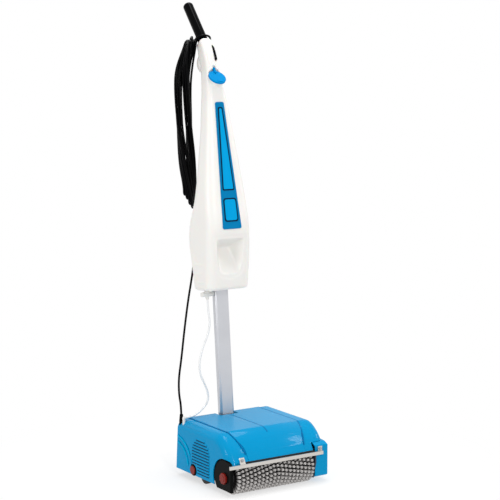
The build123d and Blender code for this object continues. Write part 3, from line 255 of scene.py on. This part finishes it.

# Dark strips along both seams and in the crease are painted shadow. They stand for the shade in the gaps between the
# hood and the side covers, and in the crease.
seam_dark = surface("seam_shadow", colour(0, 100, 154), colour(2, 108, 164), (0.5, 0.6), 1.0, 0.01,
                    Specular_IOR_Level=0.05)
hood_middle, hood_rear, hood_front = -0.005, 0.046, -0.226
seam_back, seam_from_middle = (-0.2285, -0.1965, -0.1645, -0.1405), (0.094, 0.106, 0.115, 0.118)
seam_lap, seam_half, seam_rise = 0.003, 0.0022, -0.0004
crease_rear, crease_front, crease_aside, crease_half, crease_rise = 0.008, -0.186, 0.0025, 0.0016, 0.0002
strip_deep, strip_step, over_hood = 0.0024, 0.002, 0.3


def lofted(name, skins):
    """A mesh of closed skins, each laid through its own rings of points."""
    points, faces = [], []
    for rings in skins:
        first, count = len(points), len(rings[0])
        for ring in rings:
            points += ring
        last = len(points) - count
        for row in range(first, last, count):
            for k in range(count):
                here, beside = row + k, row + (k + 1) % count
                faces.append((here, beside, beside + count, here + count))
        faces += [tuple(range(first, first + count))[::-1], tuple(range(last, last + count))]
    mesh = bpy.data.meshes.new(name)
    mesh.from_pydata(points, [], faces)
    return mesh


def strip_on_hood(line_x, line_y, aside, half, rise):
    """The rings of a narrow strip that follows the hood's skin, a little aside of a line on it."""
    rings = []
    for x, y in zip(line_x, line_y):
        hit, where, face_out, face = hood_skin.ray_cast((x, y, over_hood), (0, 0, -1))
        rings.append([where + Vector((aside + across, 0, 0)) + face_out * lift for across, lift in (
            (-half, -strip_deep), (half, -strip_deep), (half, rise), (-half, rise))])
    return rings


bpy.context.view_layer.update()
hood_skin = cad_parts["hood"].evaluated_get(bpy.context.evaluated_depsgraph_get())
seam_y = np.arange(hood_rear, hood_front, -strip_step)
seam_reach = np.interp(seam_y, seam_back, seam_from_middle) - seam_lap
crease_y = np.arange(crease_rear, crease_front, -strip_step)
crease_x = np.full(len(crease_y), hood_middle + crease_aside)
seams = lofted("hood_seam_shadows", [
    strip_on_hood(hood_middle - seam_reach, seam_y, -2 * seam_lap, seam_half, seam_rise),
    strip_on_hood(hood_middle + seam_reach, seam_y, 2 * seam_lap, seam_half, seam_rise),
    strip_on_hood(crease_x, crease_y, -crease_aside, crease_half, crease_rise)])
place("hood_seam_shadows", seams, seam_dark, "base", "chassis_paint")


# Louvres and arcs of the left cover: slots pressed in the sheet under an arch, and two raised arcs behind them.
# Thin dark strips on the wall under the louvre lips are painted shadow, standing for the shade in the slots. The
# lowest ones stop short of the axle's bush.
louvre_shadow_paint = surface("louvre_shadow", colour(2, 50, 80), colour(4, 58, 90), (0.5, 0.6), 1.0, 0.01, Specular_IOR_Level=0.05)
louvre_count, louvre_low, louvre_pitch = 12, 0.033, 0.0086
louvre_face, louvre_middle, louvre_half, louvre_arch = -0.1637, -0.0805, 0.046, 0.088
bush_clear_top, bush_clear_front = 0.0575, -0.063
shadow_thick, shadow_inset, shadow_below, shadow_above = 0.0004, 0.001, 0.0024, 0.0012
shadow_skins = []
for step in range(louvre_count):
    height = louvre_low + step * louvre_pitch
    reach = louvre_half if height < louvre_arch else (louvre_half**2 - (height - louvre_arch)**2)**0.5
    front = louvre_middle - reach + shadow_inset
    rear = (louvre_middle + reach if height > bush_clear_top else bush_clear_front) - shadow_inset
    low, high = height - shadow_below, height + shadow_above
    shadow_skins.append([[(x, front, low), (x, rear, low), (x, rear, high), (x, front, high)]
                      for x in (louvre_face, louvre_face + shadow_thick)])
place("louvre_shadows", lofted("louvre_shadows", shadow_skins), louvre_shadow_paint, "base", "chassis_paint")

# The raised arcs take a lighter, more saturated copy of the cover's azure: painted highlight on the bands.
azure_lit_copy = surface("azure_painted_highlight", colour(0, 160, 206), colour(0, 154, 200), (0.2, 0.26), 9.0, 0.003, patch=0.12,
                     Specular_IOR_Level=0.02)
arc_middle_y, arc_middle_z, arc_face = 0.0535, 0.033, -0.1630
arc_half, arc_rise = 0.0034, 0.0020
arc_sweeps = ((0.0675, 98, 172), (0.0855, 97, 152))
arc_skins = []
for radius, start, end in arc_sweeps:
    rings = []
    for turn in np.linspace(radians(start), radians(end), 60):
        over = [(radius + arc_half * cos(swing), arc_rise * sin(swing)) for swing in np.linspace(0, pi, 7)]
        rings.append([(arc_face - rise, arc_middle_y + out * cos(turn), arc_middle_z + out * sin(turn))
                      for out, rise in over])
    arc_skins.append(rings)
place("side_arcs", lofted("side_arcs", arc_skins), azure_lit_copy, "base", "cover_blue")


# Guard bar: a flat stainless strip across the front, on two tabs screwed to the slope.
# A rubber strip behind it keeps the spray in.
brushed_steel = surface("brushed_steel", colour(214, 210, 204), colour(196, 192, 187), (0.24, 0.4), 0.4, 0.01,
                        (0.02, 1, 1), Metallic=1.0)
dress(brushed_steel, "guard_bar", edge=0.6)
dress(turned_steel, "guard_screws", edge=0.6)
dress(belt_rubber, "splash_strip", edge=0.3)


# Handle column: a flat oval aluminium tube, anodised satin, on a black moulded foot.
# The drawing lines of the tube run along it. White washers fill the gaps between its foot and the bracket.
anodised = surface("anodised_satin", colour(206, 207, 211), colour(194, 195, 200), (0.3, 0.44), 0.5, 0.008,
                   (1, 1, 0.01), Metallic=0.85)
dress(anodised, "handle_column", edge=0.3)
washer_white = surface("washer_white", colour(226, 225, 220), colour(214, 213, 208), (0.4, 0.5), 0.8, 0.02)
dress(washer_white, "pivot_washers")


# Solution tank: one blow-moulded white piece, tank and neck together, with a hand recess in front.
# Its wall is thick and a little cloudy, every edge comes out of the mould soft, and it slides onto the column.
# Each section gives along, rearward, tilt in degrees, half width, half depth and corner radius, in mm.
handle_foot = Vector((-0.005, 0.0319, 0.1695))
handle_lean = radians(5)
tank_sections = np.array([
    (362, -7.5, 0, 70, 50.5, 26), (442, -9.5, 0, 73.5, 61, 30), (505, -9, 0, 73.5, 70, 32),
    (545, -12.5, 0, 72.5, 69.5, 32), (621, -23.75, 0, 68.5, 50.75, 29), (694, -26, 0, 61, 41, 26),
    (766, -25.25, 0, 52, 34.25, 22), (824, -23.75, 0, 44, 29.75, 18), (882, -19.5, 0, 36.5, 27.5, 15),
    (920, -16.5, 0, 31, 26.5, 14), (970, -8, 6, 24, 25, 13), (1012, -1, 12, 20, 25, 14), (1046, 9, 22, 20.5, 25, 14),
    (1072, 19, 30, 19.5, 22, 14), (1082, 25, 34.2, 18.5, 20, 13.5)], float)
bottom_radius, top_radius = 10, 7
mould_lines, mould_line_half, mould_line_rise, mould_line_reach = (386, 411, 437), 3, 1.6, 26
recess_aside, recess_roof, recess_knee = 4, 510, 446
recess_half, recess_draft = 53, 0.16
bowl_half, bowl_drop, bowl_steep = 46, 42, 40
floor_rearward, floor_along, floor_lean, wall_lean = -46, 452, radians(22), radians(28)
recess_corner, floor_corner, lip_round = 3.0, 4.0, 2
dish_reach, dish_deep, dish_edge = 10, 1.8, 1.2
fine_below, fine_step, coarse_step, recess_end = 520, 2.2, 5.0, 525


def spot(across, rearward, along):
    """A point of the handle, from millimetres across, rearward and along it."""
    return handle_foot + Vector((across, along * sin(handle_lean) + rearward * cos(handle_lean),
                                 along * cos(handle_lean) - rearward * sin(handle_lean))) / 1000


def between(stations, heights):
    """Smooth values between stations: a cubic through them, with the slopes of the neighbours."""
    x, y = stations[:, 0], stations[:, 1:]
    slope = np.gradient(y, x, axis=0)
    k = np.clip(np.searchsorted(x, heights) - 1, 0, len(x) - 2)
    h = (x[k + 1] - x[k])[:, None]
    t = ((heights - x[k])[:, None]) / h
    return ((2 * t**3 - 3 * t**2 + 1) * y[k] + (t**3 - 2 * t**2 + t) * h * slope[k]
            + (3 * t**2 - 2 * t**3) * y[k + 1] + (t**3 - t**2) * h * slope[k + 1])


def rounded_ring(half, depth, radius, side=56, corner=14):
    """Points round a section, front first: straight runs between rounded corners, in mm."""
    radius = min(radius, half - 0.5, depth - 0.5)
    flat, deep = half - radius, depth - radius
    points = []
    for start, end, turn in (((-flat, -depth), (flat, -depth), -90), ((half, -deep), (half, deep), 0),
                             ((flat, depth), (-flat, depth), 90), ((-half, deep), (-half, -deep), 180)):
        for k in range(side):
            points.append((start[0] + (end[0] - start[0]) * k / side, start[1] + (end[1] - start[1]) * k / side))
        hub = (end[0] - radius * cos(radians(turn)), end[1] - radius * sin(radians(turn)))
        for k in range(corner):
            a = radians(turn + 90 * k / corner)
            points.append((hub[0] + radius * cos(a), hub[1] + radius * sin(a)))
    return np.array(points)


def soft_least(values, blend):
    """The least of several distances, rounded where they meet."""
    return -blend * np.log(sum(np.exp(-v / blend) for v in values))


def hand_recess(across, along, front):
    """How far rearward the skin goes at a point of the tank's front: a scoop in a shallow dish, deep at the top."""
    wide, below = np.abs(across + recess_aside), np.maximum(recess_knee - along, 0)
    sides = recess_half - recess_draft * (recess_roof - along) - wide
    bowl = bowl_steep * (1 - np.hypot(wide / bowl_half, below / bowl_drop))
    inside = soft_least([recess_roof - along, sides, bowl], recess_corner)
    floor = floor_rearward + (along - floor_along) * tan(floor_lean)
    deep = soft_least([floor - front, inside / tan(wall_lean)], floor_corner)
    dish = dish_deep / (1 + np.exp(-(inside + dish_reach) / dish_edge))
    return (deep + np.sqrt(deep**2 + lip_round**2)) / 2 + dish


def tank_skin(name):
    """The tank's skin, ring by ring, closed at both ends."""
    low, high = tank_sections[0, 0], tank_sections[-1, 0]
    heights = np.concatenate([low + bottom_radius * (1 - np.cos(np.linspace(0, pi / 2, 9)[:-1])),
                              np.arange(low + bottom_radius, fine_below, fine_step),
                              np.arange(fine_below, high - top_radius, coarse_step),
                              high - top_radius * (1 - np.sin(np.linspace(0, pi / 2, 7)))])
    rings = []
    for along, (middle, tilt, half, depth, radius) in zip(heights, between(tank_sections, heights)):
        low_gap, high_gap = max(low + bottom_radius - along, 0), max(along - high + top_radius, 0)
        inset = bottom_radius - (bottom_radius**2 - low_gap**2)**0.5 + top_radius - (top_radius**2 - high_gap**2)**0.5
        ring = rounded_ring(half - inset, depth - inset, max(radius - inset, 2))
        across, rearward = ring[:, 0], middle + ring[:, 1] * cos(radians(tilt))
        height = along - ring[:, 1] * sin(radians(tilt))
        if along < recess_end:
            rearward = rearward + np.where(ring[:, 1] < 0, hand_recess(across, height, rearward), 0)
        rib = sum(np.exp(-((along - line) / mould_line_half)**2) for line in mould_lines)
        across = across - mould_line_rise * rib * (across < 0) * np.exp(-(ring[:, 1] / mould_line_reach)**2)
        rings.append([spot(*p) for p in zip(across, rearward, height)])
    return lofted(name, [rings])


def prism(name, outline, sweep):
    """A closed solid from a flat outline, swept along."""
    return lofted(name, [[outline, [point + sweep for point in outline]]])


def swell(name, middle, half):
    """A rounded lump on the handle, with its middle and its half sizes in mm."""
    ball = bmesh.new()
    bmesh.ops.create_uvsphere(ball, u_segments=40, v_segments=24, radius=1.0)
    for corner in ball.verts:
        corner.co = spot(*[m + h * c for m, h, c in zip(middle, half, corner.co)])
    mesh = bpy.data.meshes.new(name)
    ball.to_mesh(mesh)
    ball.free()
    return mesh


across_handle = Vector((1, 0, 0))
cap_middle = spot(0, -39, 971.5)
cap_out = (spot(0, -1000, 1000) - handle_foot).normalized()
cap_up = cap_out.cross(across_handle)


def on_cap(across, up, out):
    """A point by the filler's rim, from millimetres across, up and out of it."""
    return cap_middle + (across * across_handle + up * cap_up + out * cap_out) / 1000


def cap_disc(radius, height):
    """A ring of points round the filler's axis, so high over its rim."""
    return [on_cap(radius * cos(a), radius * sin(a), height) for a in np.linspace(0, 2 * pi, 64, endpoint=False)]


thumb_middle, thumb_half = (-4, 28, 1018), (17, 18, 28)
spout_radius, spout_deep = 20, 0.026
cap_seat_radius, cap_seat_high = 28.5, 0.040
mouth_radius, mouth_over, mouth_deep = 15.5, 1, 0.013
strap_half, strap_low, strap_high, strap_out, strap_tall = 4.7, 20, 35.6, 4.3, 0.030
strap_outline = [on_cap(x, y, strap_out) for x, y in (
    (-strap_half, strap_low), (strap_half, strap_low), (strap_half, strap_high), (-strap_half, strap_high))]
trigger_left, trigger_wide = 6.5, 0.007
trigger_outline = [spot(trigger_left, rearward, along) for rearward, along in (
    (-60, 1021), (-13, 1021), (3, 1050), (3, 1069), (-60, 1069))]
label_low, label_high = spot(0, -82.5, 538), spot(0, -45.3, 903)
label_up = (label_high - label_low).normalized()
label_out = across_handle.cross(label_up)


def on_label(across, up, out):
    """A point by the label's lower edge, from millimetres across, up and out of it."""
    return label_low + (across * across_handle + up * label_up + out * label_out) / 1000


label_seat_deep, label_seat_high = 1, 0.020
label_seat = [on_label(x, y, -label_seat_deep) for x, y in (
    (-32.6, -0.6), (32.6, -0.6), (15, 367.5), (-15, 367.5))]
tank_blank = bpy.data.objects.new("tank_blank", tank_skin("tank_blank"))
bpy.context.scene.collection.objects.link(tank_blank)
for action, solid in (
        ("UNION", swell("thumb_swell", thumb_middle, thumb_half)),
        ("UNION", prism("spout", cap_disc(spout_radius, 0), -spout_deep * cap_out)),
        ("DIFFERENCE", prism("cap_seat", cap_disc(cap_seat_radius, 0), cap_seat_high * cap_out)),
        ("DIFFERENCE", prism("label_seat", label_seat, label_seat_high * label_out)),
        ("DIFFERENCE", prism("mouth", cap_disc(mouth_radius, mouth_over), -mouth_deep * cap_out)),
        ("DIFFERENCE", prism("strap_slot", strap_outline, strap_tall * cap_out)),
        ("DIFFERENCE", prism("trigger_slot", trigger_outline, trigger_wide * across_handle))):
    tool = bpy.data.objects.new(solid.name, solid)
    bpy.context.scene.collection.objects.link(tool)
    cut = tank_blank.modifiers.new(solid.name, "BOOLEAN")
    cut.operation = action
    cut.object = tool
    bpy.context.view_layer.update()
    shaped = bpy.data.meshes.new_from_object(tank_blank.evaluated_get(bpy.context.evaluated_depsgraph_get()))
    tank_blank.modifiers.clear()
    tank_blank.data = shaped
    bpy.data.objects.remove(tool)
bpy.data.objects.remove(tank_blank)
shaped.materials.clear()
tank_white = surface("tank_white", colour(238, 236, 232), colour(233, 231, 227), (0.3, 0.42), 3.0, 0.02, patch=0.2,
                     Subsurface_Weight=0.12, Subsurface_Scale=0.008)
tank = place("tank_shell", shaped, tank_white, "handle", "tank_white", "solution_tank")
skin = tank.modifiers.new("even_skin", "REMESH")
skin.mode = "VOXEL"
skin.voxel_size = 0.0013
skin.use_smooth_shade = True
mould = tank.modifiers.new("mould_radii", "SMOOTH")
mould.factor = 0.5
mould.iterations = 5


# Label: a printed blue panel let into the front of the tank, with two plain windows.
# Each window has a navy line round it, printed on the panel, and all of it is stuck down flat.
label_blue = surface("label_blue", colour(0, 118, 172), colour(2, 124, 178), (0.25, 0.34), 1.5, 0.01,
                     Specular_IOR_Level=0.06)
window_blue = surface("window_blue", colour(0, 158, 218), colour(0, 152, 212), (0.2, 0.28), 1.5, 0.01,
                      Specular_IOR_Level=0.06)
navy = surface("label_navy", colour(3, 30, 54), colour(5, 36, 62), (0.25, 0.34), 1.5, 0.01,
               Specular_IOR_Level=0.06)
dress(label_blue, "label_panel", edge=0.5)
line_width, line_front, line_rounder, pane_front, plate_deep = 4.2, 1.5, 2, 1.9, 0.6


def label_plate(name, corners, grow, front, radius, finish, slot, *stands_for):
    """A thin plate on the label, grown sideways past its corners, with round corners, in mm."""
    middle = sum(y for x, y in corners) / len(corners)
    flat = bpy.data.meshes.new(name)
    flat.from_pydata([on_label(x + (grow if x > 0 else -grow), y + (grow if y > middle else -grow), front)
                      for x, y in corners], [], [(0, 1, 2, 3)])
    plate = place(name, flat, finish, "handle", slot, *stands_for)
    rounded = plate.modifiers.new("corners", "BEVEL")
    rounded.affect = "VERTICES"
    rounded.width = radius / 1000
    rounded.segments = 5
    thick = plate.modifiers.new("thickness", "SOLIDIFY")
    thick.thickness = plate_deep / 1000
    thick.offset = -1


for name, corners, radius in (("upper", [(-15.8, 115), (16.6, 115), (4.2, 348), (-3.6, 348)], 3.0),
                              ("lower", [(-18.6, 25), (19.6, 25), (18.4, 85), (-17.4, 85)], 6.0)):
    label_plate("label_line_" + name, corners, line_width, line_front, radius + line_rounder, navy, "label_blue")
    label_plate("label_pane_" + name, corners, 0, pane_front, radius, window_blue, "window_blue",
                "label_window_" + name)


# Filler cap: a blue moulded disc, with a thumb bar on its face and a plug that goes into the spout's mouth.
# A short strap at its upper edge hinges on a steel pin in the neck.
cap_blue = surface("cap_blue", colour(0, 136, 200), colour(0, 130, 194), (0.28, 0.38), 0.9, 0.03,
                   Specular_IOR_Level=0.03)
dress(cap_blue, "filler_cap", edge=0.5)


# Grip and trigger: a glossy black sleeve on the steel tube that holds it in the neck, and a satin black lever.
# The lever swings on a pin in its slot, at the right of the neck's middle.
grip_black = surface("grip_black", colour(2, 2, 3), colour(4, 4, 5), (0.1, 0.16), 1.2, 0.01,
                     Specular_IOR_Level=0.05)
dress(grip_black, "grip", edge=0.3)
dress(black_moulded, "trigger", edge=0.4)


# Valve and hose: a white moulded tap let into the tank's floor, and an elbow let into the left cover.
# A soft milky hose runs from one to the other and hangs in a loose curve.
fitting_white = surface("fitting_white", colour(232, 231, 227), colour(222, 221, 217), (0.35, 0.48), 0.8, 0.03)
dress(fitting_white, "tank_valve", "hose_elbow", edge=0.5)
hose_clear = surface("hose_clear", colour(240, 240, 240), colour(232, 233, 233), (0.2, 0.3), 2.0, 0.01)
hose_radius = 0.0030
hose_low = Vector((-0.146, 0.0235, 0.173))
valve_outlet = spot(-45, 0, 336)
hose_route = [valve_outlet, spot(-45, 0, 310)] + [Vector(p) / 1000 for p in (
    (-43, 57.5, 434), (-50, 57.5, 402), (-68, 57.5, 366), (-81, 56.5, 326), (-81, 55.5, 290), (-66, 54.5, 258),
    (-53, 53.5, 228), (-56, 50.5, 203), (-81, 41.5, 185), (-110, 28.5, 176.5), (-129, 23.5, 173))] + [hose_low]


def laid_line(name, route):
    """A smooth line that takes the route's points as its own."""
    line = bpy.data.curves.new(name, "CURVE")
    line.dimensions = "3D"
    spline = line.splines.new("NURBS")
    spline.points.add(len(route) - 1)
    for point, where in zip(spline.points, route):
        point.co = (*where, 1)
    spline.order_u = 3
    spline.use_endpoint_u = True
    spline.resolution_u = 10
    made = bpy.data.objects.new(name, line)
    bpy.context.scene.collection.objects.link(made)
    return made


def tube_along(name, route, radius, finish, stands_for, sides=14):
    """A round tube on the route's smooth line, with its finish, and the points that it follows."""
    line = laid_line(name + "_line", route)
    walked = bpy.data.meshes.new_from_object(line)
    path = [v.co.copy() for v in walked.vertices]
    bpy.data.objects.remove(line)
    rings = []
    across = Vector((1, 0, 0))
    for k, here in enumerate(path):
        ahead = (path[min(k + 1, len(path) - 1)] - path[max(k - 1, 0)]).normalized()
        across = (across - ahead * across.dot(ahead)).normalized()
        side = ahead.cross(across)
        rings.append([here + radius * (cos(2 * pi * j / sides) * across + sin(2 * pi * j / sides) * side)
                      for j in range(sides)])
    mesh = lofted(name, [rings])
    for face in mesh.polygons:
        face.use_smooth = len(face.vertices) == 4
    mesh.materials.append(finish)
    made = bpy.data.objects.new(name, mesh)
    bpy.context.scene.collection.objects.link(made)
    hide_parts(stands_for)
    return made, path


hose, hose_path = tube_along("solution_hose_soft", hose_route, hose_radius, hose_clear, "solution_hose")
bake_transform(hose)


# Mains lead: black rubber cable from a gland in the left cover up to the neck.
# Most of it is wound to and fro, in four layers, into a hank that hangs at the left of the neck.
# Its last length goes round the foot of the grip and hangs behind the neck with the plug.
cable_black = surface("cable_black", colour(2, 2, 3), colour(4, 4, 5), (0.12, 0.2), 1.2, 0.01,
                      Specular_IOR_Level=0.05)
dress(black_moulded, "cable_gland", edge=0.3)
dress(cable_black, "mains_plug", edge=0.6)
cable_radius = 0.0031
up = Vector((0, 0, 1))
hank_middle = Vector((-0.055, 0.1845, 0))
hank_across = Vector((0.8346, -0.5508, 0))
hank_behind = Vector((0.5508, 0.8346, 0))
hank_layers = (-0.012, -0.004, 0.004, 0.012)
hank_lifts = (0.0, 0.013, 0.026, 0.040)
hank_tops = (0.006, 0.008, 0.010, 0.012)
hank_levels = ((0.785, 0.019, 74), (0.894, 0.0115, 33), (1.004, 0.0036, 0), (1.113, -0.001, -14), (1.175, 0.003, -34),
               (1.222, 0.021, -70))
hank_wander, fold_aside = 0.009, 0.006
near, mid, far, dip = 0.0064, 0.0133, 0.0202, 0.007
hank_runs = [
    (far, 0, 0, dip, 0), (-far, 0, 0, dip, 0), (mid, 0, 0, dip, 0), (-mid, 0, 0, dip, 0), (near, 0, 0, dip, 0),
    (-near, 0, 1, 0, 0), (near, 1, 1, 0, 0), (-mid, 1, 1, dip, 0), (mid, 1, 1, dip, 0), (-far, 1, 1, dip, 0),
    (far, 1, 1, dip, dip), (-far, 2, 2, dip, dip), (mid, 2, 2, dip, 0), (-mid, 2, 2, dip, 0), (near, 2, 2, dip, 0),
    (-near, 2, 3, 0, 0), (near, 3, 3, 0, 0), (-mid, 3, 3, dip, 0), (mid, 3, 3, dip, 0), (-far, 3, 3, dip, 0),
    (far, 3, 3, dip, dip)]
hank_route = []
for step, (column, layer, lifted, below, above) in enumerate(hank_runs):
    run = []
    for level, (height, shift, turn) in enumerate(hank_levels):
        back = hank_layers[layer]
        across = shift + column * cos(radians(turn)) - back * sin(radians(turn))
        behind = column * sin(radians(turn)) + back * cos(radians(turn))
        if level == 0:
            lift = hank_lifts[lifted]
        elif level == len(hank_levels) - 1:
            lift = hank_tops[layer]
        else:
            lift = hank_wander * cos(5 * step + level)
        run.append(hank_middle + across * hank_across + behind * hank_behind + (height + lift) * up)
    ends = [run[0] - below * up, run[-1] + above * up]
    heading = up
    if step % 2:
        heading = -up
        run.reverse()
        ends.reverse()
    if step:
        fold = (ends[0] - run_end).length / 2
        aside = fold_aside * hank_across if step % 2 else Vector()
        hank_route += [run_end - heading * fold + aside, ends[0] - heading * fold + aside]
    else:
        hank_route += [ends[0]]
    hank_route += run
    run_end = ends[1]
hank_route += [run_end]
hank, hank_path = tube_along("mains_cable_hank", hank_route, cable_radius, cable_black,
                             "mains_cord_hank", 10)
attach(hank, "handle")

gland_inside = Vector((-0.1535, 0.0385, 0.150))
run_route = [gland_inside, Vector((-0.1535, 0.0385, 0.202))] + [Vector(p) / 1000 for p in (
    (-153, 52.5, 236), (-143, 70, 280), (-128, 80, 330), (-107, 97, 413), (-84, 113, 497), (-66, 123.5, 553),
    (-54, 129.5, 600), (-45, 141.5, 655), (-33, 155.5, 705))]
run_route += [hank_route[0] - 0.025 * up, hank_route[0]]
cable_run, run_path = tube_along("mains_cable_run", run_route, cable_radius, cable_black,
                                 "mains_cord_run")
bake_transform(cable_run)

plug_top = Vector((0.035, 0.1815, 1.130))
grip_foot = spot(0, 25, 1082)
grip_turn = radians(39.2)
grip_up = Vector((0, sin(grip_turn), cos(grip_turn)))
grip_back = Vector((0, cos(grip_turn), -sin(grip_turn)))
tail_route = [run_end, run_end + 0.014 * up]
tail_route += [grip_foot + (Vector((x, 0, 0)) + y * grip_back + z * grip_up) / 1000 for x, y, z in (
    (-21.5, -6, 8), (-12.9, -19.35, 8), (11.2, -21.2, 5), (22.5, -7.5, 3), (24, 9, 3))]
tail_route += [Vector((0.023, 0.1735, 1.228)), Vector((0.028, 0.1805, 1.203)), plug_top + 0.045 * up, plug_top]
tail, tail_path = tube_along("mains_cable_tail", tail_route, cable_radius, cable_black,
                             "mains_cord_tail")
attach(tail, "handle")


# Studio: pale paper that turns white away from the machine, a room that is lightest overhead, and soft lamps.
# The camera stands where the photograph was taken.
bpy.context.scene.view_settings.view_transform = "Standard"
floor_half = 6
floor_mesh = bpy.data.meshes.new("studio_floor")
floor_mesh.from_pydata([(-floor_half, -floor_half, 0), (floor_half, -floor_half, 0), (floor_half, floor_half, 0),
                        (-floor_half, floor_half, 0)], [], [(0, 1, 2, 3)])
floor = bpy.data.objects.new("studio_floor", floor_mesh)
bpy.context.scene.collection.objects.link(floor)
paper = bpy.data.materials.new("studio_paper")
paper.use_nodes = True
nodes, link = paper.node_tree.nodes, paper.node_tree.links.new
nodes["Principled BSDF"].inputs["Base Color"].default_value = (0.9, 0.9, 0.9, 1)
nodes["Principled BSDF"].inputs["Roughness"].default_value = 0.9
nodes["Principled BSDF"].inputs["Specular IOR Level"].default_value = 0.1
lit = nodes.new("ShaderNodeEmission")
where = nodes.new("ShaderNodeTexCoord")
away = nodes.new("ShaderNodeVectorMath")
away.operation = "LENGTH"
link(where.outputs["Object"], away.inputs[0])
share = nodes.new("ShaderNodeMapRange")
share.interpolation_type = "SMOOTHSTEP"
share.inputs["From Min"].default_value = 0.25
share.inputs["From Max"].default_value = 0.8
share.inputs["To Min"].default_value = 0.6
share.inputs["To Max"].default_value = 1.0
link(away.outputs["Value"], share.inputs["Value"])
mixed = nodes.new("ShaderNodeMixShader")
link(share.outputs["Result"], mixed.inputs[0])
link(nodes["Principled BSDF"].outputs[0], mixed.inputs[1])
link(lit.outputs[0], mixed.inputs[2])
link(mixed.outputs[0], nodes["Material Output"].inputs["Surface"])
floor_mesh.materials.append(paper)

world = bpy.data.worlds.new("studio_room")
bpy.context.scene.world = world
world.use_nodes = True
nodes, link = world.node_tree.nodes, world.node_tree.links.new
room = nodes["Background"]
room.inputs["Color"].default_value = (1, 1, 1, 1)
where = nodes.new("ShaderNodeTexCoord")
apart = nodes.new("ShaderNodeSeparateXYZ")
link(where.outputs["Generated"], apart.inputs[0])
light = nodes.new("ShaderNodeMapRange")
light.inputs["From Min"].default_value = 0.0
light.inputs["From Max"].default_value = 1.0
light.inputs["To Min"].default_value = 0.35
light.inputs["To Max"].default_value = 0.8
link(apart.outputs["Z"], light.inputs["Value"])
link(light.outputs["Result"], room.inputs["Strength"])
bright = nodes.new("ShaderNodeBackground")
bright.inputs["Color"].default_value = (1, 1, 1, 1)
bright.inputs["Strength"].default_value = 1.0
rays = nodes.new("ShaderNodeLightPath")
seen = rays.outputs["Is Camera Ray"]
for kind in ("Is Glossy Ray", "Is Transmission Ray"):
    either = nodes.new("ShaderNodeMath")
    either.operation = "MAXIMUM"
    link(seen, either.inputs[0])
    link(rays.outputs[kind], either.inputs[1])
    seen = either.outputs[0]
mixed = nodes.new("ShaderNodeMixShader")
link(seen, mixed.inputs[0])
link(room.outputs[0], mixed.inputs[1])
link(bright.outputs[0], mixed.inputs[2])
link(mixed.outputs[0], nodes["World Output"].inputs["Surface"])

lamps_aim = Vector((0, 0, 0.5))
for lamp_name, where, size, power in (
        ("lamp_front", Vector((-0.9, -3.4, 2.4)), 0.7, 39), ("lamp_left", Vector((-3.2, -0.4, 1.6)), 0.8, 24),
        ("lamp_right", Vector((3.0, -1.2, 2.2)), 0.8, 22), ("lamp_top", Vector((0.2, 0.2, 3.6)), 1.4, 48)):
    lamp = bpy.data.lights.new(lamp_name, "AREA")
    lamp.size = size
    lamp.energy = power
    stand = bpy.data.objects.new(lamp_name, lamp)
    stand.location = where
    stand.rotation_mode = "QUATERNION"
    stand.rotation_quaternion = (lamps_aim - where).to_track_quat("-Z", "Y")
    bpy.context.scene.collection.objects.link(stand)

lens = bpy.data.cameras.new("photo_camera")
lens.lens = 110.1
lens.sensor_width = 36
camera = bpy.data.objects.new("photo_camera", lens)
camera.location = (-2.3602, -3.6650, 1.2223)
camera.rotation_mode = "QUATERNION"
camera.rotation_quaternion = Vector((0.5461, 0.8277, -0.13)).to_track_quat("-Z", "Y")
bpy.context.scene.collection.objects.link(camera)
bpy.context.scene.camera = camera
